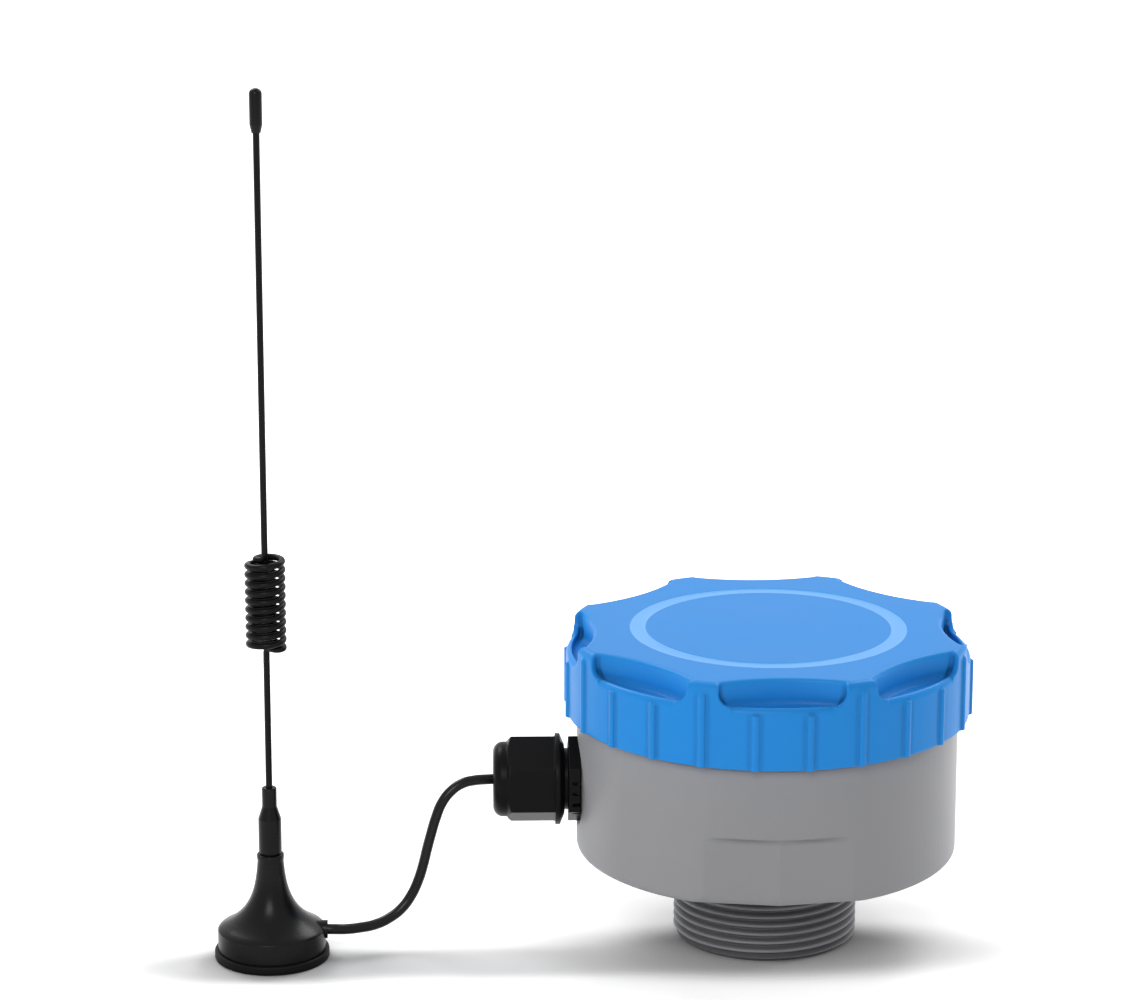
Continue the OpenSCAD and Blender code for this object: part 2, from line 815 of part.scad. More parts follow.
// Row of pins in its holder, between the two boards
module pin_header() {
    header_w = 14;
    header_t = 2.6;
    color("#19191b")
        translate([-header_w / 2, radar_board_w / 2 - 2 * header_t - 2.3, radar_board_top])
            cube([header_w, header_t, main_board_z - radar_board_top]);
}

// ---------------------------------------------------------------- main board

// Places of the four screws through the main board
module board_screw_spots() {
    for (x = [-1, 1], y = [-1, 1])
        translate([x * board_screw_x, y * board_screw_y, 0])
            children();
}

module main_board() {
    color("#1d6b3a")
        difference() {
            translate([0, 0, main_board_z])
                cylinder(h = board_t, r = main_board_r);
            translate([-main_board_cut - body_r, -body_r, main_board_z - 1])
                cube([body_r, body_d, board_t + 2]);
            board_screw_spots()
                translate([0, 0, main_board_z - 1])
                    cylinder(h = board_t + 2, r = board_screw_r + slip_gap);
        }
}

module board_screws() {
    color("#c0c2c6")
        board_screw_spots()
            translate([0, 0, main_board_top])
                screw(board_screw_r, board_screw_l);
}

module radio_module() {
    room = sqrt(pow(main_board_r, 2) - pow(radio_l / 2, 2)) - holder_y;
    fit_w = min(radio_w, room - 1);
    color("#b7bac0")
        translate([-radio_l / 2, -holder_y - room / 2 - fit_w / 2, main_board_top])
            cube([radio_l, fit_w, radio_t]);
}

module antenna_socket() {
    color("#cda434")
        translate([-socket_x, socket_y, main_board_top])
            cylinder(h = socket_h, r = socket_r);
}

module button_base() {
    base_w = 6.2;
    color("#2c2c30")
        difference() {
            translate([button_x - base_w / 2, -base_w / 2, main_board_top])
                cube([base_w, base_w, button_base_h]);
            translate([button_x, 0, main_board_top + button_floor_t])
                cylinder(h = button_base_h, r = button_r + slip_gap);
        }
}

module power_button() {
    button_h = 4;
    edge = 0.4;
    color("#c8352b")
        translate([button_x, 0, main_board_top + button_floor_t + button_travel + 0.2])
            rotate_extrude($fn = 48)
                union() {
                    band(0, button_r, 0, button_h - edge);
                    band(0, button_r - edge, 0, button_h);
                }
}

// ---------------------------------------------------------------- batteries

// Places of the two cells, each along Y, the right one turned end for end
module cell_spot(side) {
    translate([side * cell_x, -side * (spring_l - plate_t) / 2, cell_z])
        rotate([side * 90, 0, 0])
            translate([0, 0, -cell_l / 2])
                children();
}

// One cell, its raised end up
module cell() {
    can_l = cell_l - cell_nub_h;
    edge = 0.8;
    rotate_extrude()
        polygon([
            [0, 0], [cell_r - edge, 0], [cell_r, edge], [cell_r, can_l - edge], [cell_r - edge, can_l],
            [cell_r / 4, can_l], [cell_r / 4, cell_l], [0, cell_l]
        ]);
}

module cell_left() {
    color("#3d7f4f")
        cell_spot(-1)
            cell();
}

module cell_right() {
    color("#3d7f4f")
        cell_spot(1)
            cell();
}

// Coil spring at a cell's flat end, drawn as its touching turns, each a little smaller than the last
module contact_springs() {
    wire_r = spring_wire_d / 2;
    turns = 5;
    rise = (spring_l - spring_wire_d) / (turns - 1);
    shrink = 0.45 * spring_wire_d;
    color("#c9cbd0")
        for (side = [-1, 1])
            cell_spot(side)
                translate([0, 0, -spring_l])
                    rotate_extrude($fn = 48)
                        for (i = [0 : turns - 1])
                            translate([spring_d / 2 - wire_r - i * shrink, wire_r + i * rise])
                                circle(wire_r, $fn = 24);
}

module contact_plates() {
    color("#c9cbd0")
        for (side = [-1, 1])
            cell_spot(side)
                translate([-plate_w / 2, -plate_w / 2, cell_l])
                    cube([plate_w, plate_w, plate_t]);
}

// Holder with a cradle under the cells, a wall at each end and corners that follow the housing
module battery_holder() {
    cradle_h = holder_wall + 0.55 * cell_r;
    end_h = cell_z + 0.65 * cell_r - main_board_top;
    window_w = 0.44 * cell_d;
    window_end = 6;
    color("#222225")
        difference() {
            intersection() {
                translate([-holder_x, -holder_y, main_board_top])
                    union() {
                        cube([2 * holder_x, 2 * holder_y, cradle_h]);
                        for (y = [0, 2 * holder_y - holder_wall])
                            translate([0, y, 0])
                                cube([2 * holder_x, holder_wall, end_h]);
                    }
                translate([0, 0, main_board_top - 1])
                    cylinder(h = end_h + 2, r = cavity_r - loose_gap);
            }
            for (side = [-1, 1]) {
                translate([side * cell_x, bay_l / 2, cell_z])
                    rotate([90, 0, 0])
                        cylinder(h = bay_l, r = cell_r + slip_gap);
                translate([side * cell_x - window_w / 2, window_end - bay_l / 2, main_board_top - 1])
                    cube([window_w, bay_l - 2 * window_end, cradle_h]);
            }
        }
}

// ---------------------------------------------------------------- cable gland

// Body: inner thread, hexagonal flange with grip notches, and the tube under the nut
module gland_body() {
    notch_w = 0.7;
    notch_l = 2.1;
    notch_r = gland_af / 2 - 0.8;
    notch_step = 16.5;
    notch_first = -10.5;
    color("#252527")
        difference() {
            union() {
                gland_bar(gland_inner_end, claw_start - fit_gap, gland_r);
                gland_hex(seat_x, flange_end, gland_af);
            }
            gland_bar(gland_inner_end - 1, bush_start + 1, cable_hole_r + 1.2);
            gland_bar(bush_start, claw_start + 1, bush_r + slip_gap);
            gland_turn()
                band(gland_r - 2 * eps, gland_r + face_seal_w, seat_x - 1, seat_x + face_seal_t);
            for (side = [0, 180], i = [0 : 3])
                translate([-seat_x - notch_l, 0, gland_z])
                    rotate([side + notch_first + i * notch_step, 0, 0])
                        translate([0, -notch_r - gland_af, -notch_w / 2])
                            cube([notch_l + 1, gland_af, notch_w]);
        }
}

// Rubber ring in the flange's groove, against the housing
module gland_seal_ring() {
    color("#1f1f20")
        gland_turn()
            translate([gland_r + face_seal_w / 2, seat_x + face_seal_t / 2])
                circle(face_seal_t / 2 - eps / 2, $fn = 32);
}

// Rubber bush that grips the cable
module gland_bush() {
    color("#1f1f20")
        gland_turn()
            band(cable_hole_r, bush_r, bush_start + fit_gap, bush_end);
}

// Slotted claw that the nut presses onto the bush
module gland_claw() {
    fingers = 8;
    slot_w = 1;
    tip_end = claw_end - 0.6;
    claw_r = nut_bore_r - loose_gap;
    color("#3a3a3d")
        difference() {
            gland_turn()
                polygon([
                    [bush_r + loose_gap, claw_start], [claw_r, claw_start], [claw_r, nut_bore_end - 0.5],
                    [nut_cone_r - 0.4, tip_end], [bush_r + loose_gap, tip_end]
                ]);
            for (i = [0 : fingers / 2 - 1])
                translate([-claw_end - 1, 0, gland_z])
                    rotate([i * 360 / fingers, 0, 0])
                        translate([0, -claw_r - 1, -slot_w / 2])
                            cube([claw_end - claw_start - 1, 2 * claw_r + 2, slot_w]);
        }
}

// Dome nut: collar, hexagon and a round end with the cable's hole
module gland_nut() {
    rim_r = gland_corner_r + loose_gap;
    cone_r = nut_bore_r + 0.9;
    hex_bevel = 1.6;
    color("#252527")
        difference() {
            union() {
                gland_turn()
                    polygon([
                        [0, nut_start], [cone_r, nut_start], [rim_r, nut_start + collar_cone_h],
                        [rim_r, collar_end], [0, collar_end]
                    ]);
                intersection() {
                    gland_hex(collar_end - eps, hex_end, gland_af);
                    gland_turn()
                        polygon([
                            [0, collar_end - 1], [gland_corner_r + 1, collar_end - 1],
                            [gland_corner_r + 1, hex_end - hex_bevel], [dome_r, hex_end], [0, hex_end]
                        ]);
                }
                gland_turn() {
                    band(0, dome_r, hex_end - 1, nut_end - dome_round);
                    band(0, dome_r - dome_round, hex_end - 1, nut_end);
                    translate([dome_r - dome_round, nut_end - dome_round])
                        circle(dome_round, $fn = 48);
                }
            }
            gland_turn()
                polygon([
                    [0, nut_start - 1], [nut_bore_r, nut_start - 1], [nut_bore_r, nut_bore_end],
                    [nut_cone_r, claw_end], [nut_hole_d / 2, claw_end], [nut_hole_d / 2, nut_end + 1],
                    [0, nut_end + 1]
                ]);
        }
}

module gland_lock_nut() {
    color("#252527")
        difference() {
            gland_hex(pad_x - lock_nut_t, pad_x, gland_af);
            gland_bar(pad_x - lock_nut_t - 1, pad_x + 1, gland_r + slip_gap);
        }
}

// ---------------------------------------------------------------- antenna cable

module antenna_cable() {
    color("#1c1c1e")
        tube_along(smooth_route(cable_route, route_steps), cable_r, 8, [0, 0, 1]);
}

module cable_tail() {
    color("#1c1c1e")
        tube_along(smooth_route(tail_route, route_steps), cable_r, 8, [0, 0, 1]);
}

module cable_plug() {
    color("#cda434")
        translate([-socket_x, socket_y, plug_z])
            rotate_extrude($fn = 48)
                union() {
                    band(0, plug_r, 0, plug_h / 2);
                    band(0, plug_r - 0.6, 0, tail_route[len(tail_route) - 1][2] - plug_z);
                }
}

// ---------------------------------------------------------------- antenna

module at_antenna() {
    translate([ant_x, ant_y, 0])
        children();
}

// Height and radius along the bell, which narrows by a constant share for each step upwards
bell_steps = 18;
function bell_radius(z) = bell_neck_r + (bell_r - bell_neck_r) * exp(-(z - bell_z) / bell_fall);
function bell_height(i) = bell_z + (bell_top_h - collar_top_h - bell_z) * pow(i / bell_steps, 1.3);

// Bell-shaped shell with the magnet's recess below and a boss for the cable
module antenna_shell() {
    color("#222224")
        at_antenna()
            difference() {
                union() {
                    rotate_extrude() {
                        polygon(concat(
                            [[0, foot_floor_t], [shell_r, foot_floor_t], [shell_r, shell_wall_h]],
                            [for (i = [0 : bell_steps]) [bell_radius(bell_height(i)), bell_height(i)]],
                            [[0, bell_top_h - collar_top_h]]
                        ));
                        band(0, bell_neck_r + 0.5, bell_top_h - collar_top_h - 0.5, bell_top_h);
                    }
                    translate([magnet_r, 0, boss_z])
                        rotate([0, 90, 0])
                            cylinder(h = boss_end - magnet_r, r = boss_r, $fn = 48);
                }
                translate([0, 0, foot_floor_t - 1])
                    cylinder(h = yoke_top + slip_gap - foot_floor_t + 1, r = magnet_r + slip_gap);
                translate([0, 0, bell_top_h - ferrule_stem_h - slip_gap])
                    cylinder(h = ferrule_stem_h + 1, r = ferrule_stem_r + fit_gap, $fn = 48);
                translate([cable_stop, 0, boss_z])
                    rotate([0, 90, 0])
                        cylinder(h = boss_end, r = cable_hole_r, $fn = 48);
            }
}

// Rubber cup under the shell
module antenna_foot() {
    lip_round = 0.5;
    color("#1b1b1c")
        at_antenna()
            rotate_extrude()
                difference() {
                    union() {
                        band(0, foot_r, 0, foot_h - lip_round);
                        band(0, foot_r - lip_round, 0, foot_h);
                        translate([foot_r - lip_round, foot_h - lip_round])
                            circle(lip_round, $fn = 32);
                    }
                    band(-1, shell_r + fit_gap, foot_floor_t, foot_h + 1);
                }
}

module antenna_magnet() {
    color("#8f9196")
        at_antenna()
            rotate_extrude()
                band(3, magnet_r, foot_floor_t, magnet_top);
}

module antenna_yoke() {
    color("#a3a5aa")
        at_antenna()
            translate([0, 0, magnet_top])
                cylinder(h = yoke_t, r = magnet_r);
}

// Sleeve that grips the whip's wire
module whip_ferrule() {
    color("#28282a")
        at_antenna()
            rotate_extrude($fn = 64)
                difference() {
                    polygon([
                        [0, bell_top_h - ferrule_stem_h], [ferrule_stem_r, bell_top_h - ferrule_stem_h],
                        [ferrule_stem_r, bell_top_h], [ferrule_r, bell_top_h],
                        [ferrule_r, ferrule_mid - 0.4], [ferrule_r - 0.4, ferrule_mid],
                        [ferrule_tip_r, ferrule_taper_top], [ferrule_tip_r, ferrule_top - 0.4],
                        [ferrule_tip_r - 0.4, ferrule_top], [0, ferrule_top]
                    ]);
                    band(-1, whip_r + fit_gap, whip_start, ferrule_top + 1);
                }
}

// The whip's path: up the axis, a bend and a spiral out to the coil, round it, and the same way back
coil_segments = 20;
bend_steps = 5;
spiral_steps = 8;
coil_lead = 4 * coil_bend_r;
turn_in = -0.4;
turn_out = 0.45;
function spot(r, angle, z) = [r * cos(angle), r * sin(angle), z];
function bend_spot(a, turn, side, z) =
    spot(coil_bend_r * (1 - cos(a)), turn * 360, z + side * coil_bend_r * (1 - sin(a)));
function spiral_spot(t, turn, z) =
    spot(coil_bend_r + (coil_r - coil_bend_r) * sin(90 * t), turn * 360 * (1 - t * t), z);
function coil_spot(turn) = spot(coil_r, turn * 360, coil_z + turn * coil_pitch);
whip_path = concat(
    [[0, 0, whip_start], [0, 0, coil_z - coil_lead]],
    [for (i = [0 : bend_steps]) bend_spot(i * 90 / bend_steps, turn_in, -1, coil_z)],
    [for (i = [1 : spiral_steps - 1]) spiral_spot(i / spiral_steps, turn_in, coil_z)],
    [for (i = [0 : coil_turns * coil_segments]) coil_spot(i / coil_segments)],
    [for (i = [1 : spiral_steps - 1]) spiral_spot(1 - i / spiral_steps, turn_out, coil_top)],
    [for (i = [0 : bend_steps]) bend_spot(90 - i * 90 / bend_steps, turn_out, 1, coil_top)],
    [[0, 0, coil_top + coil_lead], [0, 0, whip_end]]
);

module whip_wire() {
    color("#1e1e20")
        at_antenna()
            tube_along(whip_path, whip_r, 8, [1, 0, 0]);
}

module whip_tip() {
    color("#222224")
        at_antenna()
            rotate_extrude($fn = 48)
                difference() {
                    union() {
                        band(0, tip_r, tip_start + tip_taper_h, whip_top - tip_r);
                        translate([0, whip_top - tip_r])
                            intersection() {
                                circle(tip_r);
                                square(tip_r);
                            }
                        polygon([
                            [0, tip_start], [whip_r + 0.5, tip_start], [tip_r, tip_start + tip_taper_h],
                            [0, tip_start + tip_taper_h]
                        ]);
                    }
                    band(-1, whip_r + fit_gap, tip_start - 1, whip_end);
                }
}

// ---------------------------------------------------------------- nodes

housing();
cap();
cap_gasket();
radar_lens();
lens_seal();
radar_horn();
radar_board();
radar_chip();
horn_screws();
pin_header();
main_board();
board_screws();
radio_module();
antenna_socket();
battery_holder();
cell_left();
cell_right();
contact_springs();
contact_plates();
button_base();
power_button();
gland_body();
gland_seal_ring();
gland_bush();
gland_claw();
gland_nut();
gland_lock_nut();
antenna_cable();
cable_tail();
cable_plug();
antenna_shell();
antenna_foot();
antenna_magnet();
antenna_yoke();
whip_ferrule();
whip_wire();
whip_tip();
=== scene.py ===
import json
import math

import bpy
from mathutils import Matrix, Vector


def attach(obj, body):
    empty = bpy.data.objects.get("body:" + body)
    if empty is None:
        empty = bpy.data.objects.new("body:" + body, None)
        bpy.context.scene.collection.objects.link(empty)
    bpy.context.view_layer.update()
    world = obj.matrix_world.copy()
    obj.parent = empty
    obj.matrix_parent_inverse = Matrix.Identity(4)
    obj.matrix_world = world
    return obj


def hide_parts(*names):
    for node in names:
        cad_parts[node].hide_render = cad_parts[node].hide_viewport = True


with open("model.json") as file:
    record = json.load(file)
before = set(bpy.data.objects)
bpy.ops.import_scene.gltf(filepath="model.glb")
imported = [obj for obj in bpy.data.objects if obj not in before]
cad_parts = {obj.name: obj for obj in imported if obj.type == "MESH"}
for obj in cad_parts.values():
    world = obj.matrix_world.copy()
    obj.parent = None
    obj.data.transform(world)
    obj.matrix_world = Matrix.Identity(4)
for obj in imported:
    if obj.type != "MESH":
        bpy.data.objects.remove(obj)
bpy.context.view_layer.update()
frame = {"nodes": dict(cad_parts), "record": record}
nodes = frame["nodes"]

# %% [markdown]
# ## The camera
# The sensor is seen from slightly above with a long lens, so its round edges stay flat ellipses.
# A long lens far away keeps the antenna upright. The camera stands about a metre off and looks
# 15 degrees down. A lens and its film are given in millimetres, and places in metres.
# %% Camera
MM = 0.001
lens_length, film_width = 126.66, 36
camera_place = (-0.0770, -0.9778, 0.3759)
camera_tilt, camera_turn = 75.19, -1.4
scene = bpy.context.scene
camera_data = bpy.data.cameras.new("camera")
camera_data.sensor_width = film_width
camera_data.lens = lens_length
camera = bpy.data.objects.new("camera", camera_data)
scene.collection.objects.link(camera)
camera.location = camera_place
camera.rotation_euler = (math.radians(camera_tilt), 0, math.radians(camera_turn))
scene.camera = camera
scene.view_settings.view_transform = "Standard"
print("camera:", camera_data.lens, "mm lens,", round(camera.location.length, 3), "m from the origin")

# %% [markdown]
# ## Helpers for modelling
# Operators act on whatever is selected, and loading a model leaves everything selected. So each step
# first clears the selection and then picks its own object.
# %% Selection and finishing helpers
def deselect():
    """Leaves edit mode and clears the selection."""
    if bpy.context.object and bpy.context.object.mode != "OBJECT":
        bpy.ops.object.mode_set(mode="OBJECT")
    bpy.ops.object.select_all(action="DESELECT")


def pick(piece):
    """Makes piece the only selected and active object."""
    deselect()
    piece.select_set(True)
    bpy.context.view_layer.objects.active = piece


def settle(piece):
    """Puts a piece's place into its mesh, so that its object sits at the origin."""
    pick(piece)
    bpy.ops.object.transform_apply(location=True, rotation=True, scale=True)


def smooth(piece, degrees=30):
    """Shades a piece smooth, with edges sharper than the given angle kept crisp."""
    pick(piece)
    bpy.ops.object.shade_smooth_by_angle(angle=math.radians(degrees))


def dress(piece, body, slot, material, *stands_for):
    """Gives a finished piece its body, its material and the nodes that it replaces; slot is not used."""
    piece.data.materials.clear()
    piece.data.materials.append(material)
    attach(piece, body)
    if stands_for:
        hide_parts(*stands_for)
    triangles = 0
    if piece.type == "MESH":
        piece.data.calc_loop_triangles()
        triangles = len(piece.data.loop_triangles)
    print(f"{piece.name}: {triangles} triangles, rides on {body}")


# %% [markdown]
# ## Helpers for turned parts
# Many parts here are turned: every cut across the axis is a circle. Such a part is drawn as one chain
# of edges, an extrusion for each point, and spun round its axis. A corner with a radius becomes a
# short arc, because a moulded or machined edge is never sharp.
# %% Drawing and spinning a profile
same_spot = 0.001 * MM  # points closer than this are one point


def rounded(corners, steps=5):
    """Turns corners (a, b, radius) into points, with an arc at each corner that has a radius."""
    points = []
    for number, (a, b, radius) in enumerate(corners):
        here = Vector((a, b, 0))
        if radius == 0:
            points.append(here)
            continue
        back = (Vector((*corners[number - 1][:2], 0)) - here).normalized()
        ahead = (Vector((*corners[number + 1][:2], 0)) - here).normalized()
        half = back.angle(ahead) / 2
        centre = here + (back + ahead).normalized() * radius / math.sin(half)
        start = here + back * radius / math.tan(half) - centre
        end = here + ahead * radius / math.tan(half) - centre
        points += [
            centre + start.slerp(end, step / steps).normalized() * radius for step in range(steps + 1)
        ]
    return [(point.x, point.y) for point in points]


def draw_chain(name, points):
    """Draws a chain of edges through points in millimetres, one extrusion for each point."""
    spots = [Vector(point) * MM for point in points]
    deselect()
    bpy.ops.mesh.primitive_plane_add(size=MM, location=spots[0])
    chain = bpy.context.object
    chain.name = name
    bpy.ops.object.mode_set(mode="EDIT")
    bpy.ops.mesh.merge(type="CENTER")
    for here, there in zip(spots, spots[1:]):
        bpy.ops.mesh.extrude_region_move(TRANSFORM_OT_translate={"value": there - here})
    bpy.ops.object.mode_set(mode="OBJECT")
    settle(chain)
    return chain


def close_up(piece):
    """Merges doubled points and turns every face outwards."""
    pick(piece)
    bpy.ops.object.mode_set(mode="EDIT")
    bpy.ops.mesh.select_all(action="SELECT")
    bpy.ops.mesh.remove_doubles(threshold=same_spot)
    bpy.ops.mesh.normals_make_consistent(inside=False)
    bpy.ops.object.mode_set(mode="OBJECT")


def turned(name, profile, foot=(0, 0, 0), steps=96):
    """Spins a profile of (radius, height) corners round a vertical axis that stands on foot."""
    foot = Vector(foot)
    piece = draw_chain(name, [foot + Vector((r, 0, z)) for r, z in rounded(profile)])
    pick(piece)
    bpy.ops.object.mode_set(mode="EDIT")
    bpy.ops.mesh.select_all(action="SELECT")
    bpy.ops.mesh.spin(steps=steps, angle=2 * math.pi, center=foot * MM, axis=(0, 0, 1))
    bpy.ops.object.mode_set(mode="OBJECT")
    close_up(piece)
    return piece


def apply(piece, kind, **settings):
    """Adds one modifier to a piece, sets it and applies it."""
    pick(piece)
    step = piece.modifiers.new("step", kind)
    for name, value in settings.items():
        setattr(step, name, value)
    bpy.ops.object.modifier_apply(modifier=step.name)


def combine(piece, other, operation):
    """Cuts, keeps or joins one piece with another, which is used up."""
    apply(piece, "BOOLEAN", operation=operation, object=other, solver="EXACT")
    bpy.data.objects.remove(other, do_unlink=True)


# %% [markdown]
# ## Helpers for moulded skins
# A mould has no sharp edge, and the solids have nothing else. A bevel on a shape with hundreds of
# small cut faces breaks, so the skin is rebuilt from even cells instead, relaxed for a few passes,
# which rounds every edge alike, and thinned again where it is flat.
# %% Copying and softening a solid
skin_limit = 190000  # triangles in the skin of a large moulding
flat_weight = 60  # how far a large flat face outweighs a small one where their normals are mixed


def copy_of(node_name, name):
    """A copy of a node's mesh as a new piece, with its loose triangles merged."""
    piece = bpy.data.objects.new(name, nodes[node_name].data.copy())
    scene.collection.objects.link(piece)
    pick(piece)
    bpy.ops.object.mode_set(mode="EDIT")
    bpy.ops.mesh.select_all(action="SELECT")
    bpy.ops.mesh.remove_doubles(threshold=same_spot)
    bpy.ops.object.mode_set(mode="OBJECT")
    return piece


def choose(piece, name, test):
    """Makes a vertex group of the points whose place in millimetres passes a test."""
    group = piece.vertex_groups.new(name=name)
    chosen = [vert.index for vert in piece.data.vertices if test(*(vert.co / MM))]
    group.add(chosen, 1.0, "REPLACE")
    return name


def thin_out(piece, triangles):
    """Thins a dense skin to about a number of triangles, and shades it with its flats kept flat."""
    piece.data.calc_loop_triangles()
    dense = len(piece.data.loop_triangles)
    if dense > triangles:
        apply(piece, "DECIMATE", ratio=triangles / dense)
    pick(piece)
    bpy.ops.object.shade_smooth()
    apply(piece, "WEIGHTED_NORMAL", weight=flat_weight)
    print(f"{piece.name}: {dense} triangles thinned to about {min(dense, triangles)}")


def soften(piece, cell, triangles, *zones):
    """Rebuilds a piece's skin from cells of a size in millimetres, relaxes its zones and thins it out.

    A zone is a name, a number of passes, and a test of the place, or None for the whole skin.
    """
    apply(piece, "REMESH", mode="VOXEL", voxel_size=cell * MM)
    for name, passes, test in zones:
        group = choose(piece, name, test) if test else ""
        apply(piece, "SMOOTH", factor=0.5, iterations=passes, vertex_group=group)
    thin_out(piece, triangles)
    piece.vertex_groups.clear()


# %% [markdown]
# ## Helpers for materials
# A shader is a small network. A helper adds one node and sets its inputs by name or number, which
# keeps each network short to read.
# %% Node helpers
def add(tree, kind, inputs=None, **settings):
    """Adds one node of a kind, sets its properties, and sets or links its inputs."""
    made = tree.nodes.new(kind)
    for name, value in settings.items():
        setattr(made, name, value)
    for name, value in (inputs or {}).items():
        if isinstance(value, bpy.types.NodeSocket):
            tree.links.new(value, made.inputs[name])
        else:
            made.inputs[name].default_value = value
    return made


def new_group(name, inputs, outputs):
    """Makes an empty shader group with named float or colour sockets, and returns it with its ends."""
    group = bpy.data.node_groups.new(name, "ShaderNodeTree")
    kinds = {"float": "NodeSocketFloat", "colour": "NodeSocketColor"}
    for socket, kind in inputs.items():
        group.interface.new_socket(socket, in_out="INPUT", socket_type=kinds[kind])
    for socket, kind in outputs.items():
        group.interface.new_socket(socket, in_out="OUTPUT", socket_type=kinds[kind])
    start = group.nodes.new("NodeGroupInput")
    end = group.nodes.new("NodeGroupOutput")
    return group, start, end


def math_node(tree, operation, a, b):
    """A Math node's output socket."""
    return add(tree, "ShaderNodeMath", {0: a, 1: b}, operation=operation).outputs[0]


def vector_node(tree, operation, a, b=(0, 0, 0)):
    """A Vector Math node's output socket: a number for a length or a distance, or else a vector."""
    made = add(tree, "ShaderNodeVectorMath", {0: a, 1: b}, operation=operation)
    return made.outputs["Value" if operation in ("LENGTH", "DISTANCE") else "Vector"]


def map_range(tree, value, start, end, at_start=0.0, at_end=1.0, **settings):
    """A Map Range node's output socket, which goes from at_start to at_end between start and end."""
    inputs = {0: value, 1: start, 2: end, 3: at_start, 4: at_end}
    return add(tree, "ShaderNodeMapRange", inputs, **settings).outputs[0]


def shown_directly(tree):
    """A mask that is 1 for the camera's rays and for what gloss and glass show, and 0 for light."""
    path = add(tree, "ShaderNodeLightPath").outputs
    seen = math_node(tree, "MAXIMUM", path["Is Camera Ray"], path["Is Transmission Ray"])
    return math_node(tree, "MAXIMUM", seen, path["Is Glossy Ray"])


# %% [markdown]
# ## Moulded grain
# Injection-moulded plastic is never quite even: the mould is spark-eroded to a fine grain, and the
# colour and gloss drift a little over a few centimetres. A colour and a bump alone would look like
# clay, so one group makes all three from noise at two scales: a slow drift and a fine grain.
# %% Group: moulded grain
drift_scale, fine_share, gloss_share = 28, 0.4, 0.16
grain, grain_in, grain_out = new_group(
    "moulded_grain",
    {"Colour": "colour", "Roughness": "float", "Drift": "float", "Grain": "float"},
    {"Colour": "colour", "Roughness": "float", "Height": "float"},
)
place = add(grain, "ShaderNodeTexCoord").outputs["Object"]
slow = add(grain, "ShaderNodeTexNoise", {"Vector": place, "Scale": drift_scale, "Detail": 3}).outputs["Fac"]
fine = add(
    grain, "ShaderNodeTexNoise", {"Vector": place, "Scale": grain_in.outputs["Grain"], "Detail": 2}
).outputs["Fac"]
slow_swing = math_node(grain, "SUBTRACT", slow, 0.5)
fine_swing = math_node(grain, "SUBTRACT", fine, 0.5)
both = math_node(grain, "ADD", slow_swing, math_node(grain, "MULTIPLY", fine_swing, fine_share))
shade = math_node(grain, "ADD", math_node(grain, "MULTIPLY", both, grain_in.outputs["Drift"]), 1)
tinted = vector_node(grain, "MULTIPLY", grain_in.outputs["Colour"], shade)
gloss_swing = math_node(grain, "MULTIPLY", slow_swing, gloss_share)
gloss = math_node(grain, "ADD", grain_in.outputs["Roughness"], gloss_swing)
grain.links.new(tinted, grain_out.inputs["Colour"])
grain.links.new(gloss, grain_out.inputs["Roughness"])
grain.links.new(fine, grain_out.inputs["Height"])
print("group moulded_grain:", len(grain.nodes), "nodes")

# %% [markdown]
# ## Shade in corners
# Light from all round reaches an open face more than the foot of a rib or the root of a thread. Soft
# lamps show little of that on parts a millimetre high, so one group takes a mask of how closed a spot
# is within a short reach, and darkens the colour by it, though never below a set share of its tone.
# %% Group: corner shade
darkest = 0.42
corner, corner_in, corner_out = new_group(
    "corner_shade", {"Colour": "colour", "Reach": "float", "Depth": "float"}, {"Colour": "colour"}
)
opened = add(
    corner, "ShaderNodeAmbientOcclusion", {"Distance": corner_in.outputs["Reach"]}, samples=6
).outputs["AO"]
closed = math_node(corner, "SUBTRACT", 1.0, opened)
lost = math_node(corner, "MULTIPLY", closed, corner_in.outputs["Depth"])
shade = math_node(corner, "MAXIMUM", math_node(corner, "SUBTRACT", 1.0, lost), darkest)
shaded = vector_node(corner, "MULTIPLY", corner_in.outputs["Colour"], shade)
corner.links.new(shaded, corner_out.inputs["Colour"])
print("group corner_shade:", len(corner.nodes), "nodes")

# %% [markdown]
# ## Turned and drawn metal
# Screws, springs and plates are drawn, stamped or turned, which leaves fine lines. Noise that is
# stretched along one axis gives such lines for the roughness and the bump.
# %% Group: metal lines
line_stretch, line_share = (0.08, 1, 1), 0.3
lines, lines_in, lines_out = new_group(
    "metal_lines", {"Roughness": "float", "Fineness": "float"}, {"Roughness": "float", "Height": "float"}
)
place = add(lines, "ShaderNodeTexCoord").outputs["Object"]
drawn = add(lines, "ShaderNodeMapping", {"Vector": place, "Scale": line_stretch}).outputs[0]
streak = add(
    lines, "ShaderNodeTexNoise", {"Vector": drawn, "Scale": lines_in.outputs["Fineness"], "Detail": 3}
).outputs["Fac"]
swing = math_node(lines, "MULTIPLY", math_node(lines, "SUBTRACT", streak, 0.5), line_share)
drawn_gloss = math_node(lines, "ADD", lines_in.outputs["Roughness"], swing)
lines.links.new(drawn_gloss, lines_out.inputs["Roughness"])
lines.links.new(streak, lines_out.inputs["Height"])
print("group metal_lines:", len(lines.nodes), "nodes")

# %% [markdown]
# ## The finishes
# Each finish is one material with its own colour, gloss and grain, made from the groups. The numbers
# that are the same all over a surface stand on the shader itself, and only what changes over the
# surface comes through a group. Only the cap and the housing are shaded in their corners.
# %% Materials from the groups
corner_reach = 1.5 * MM


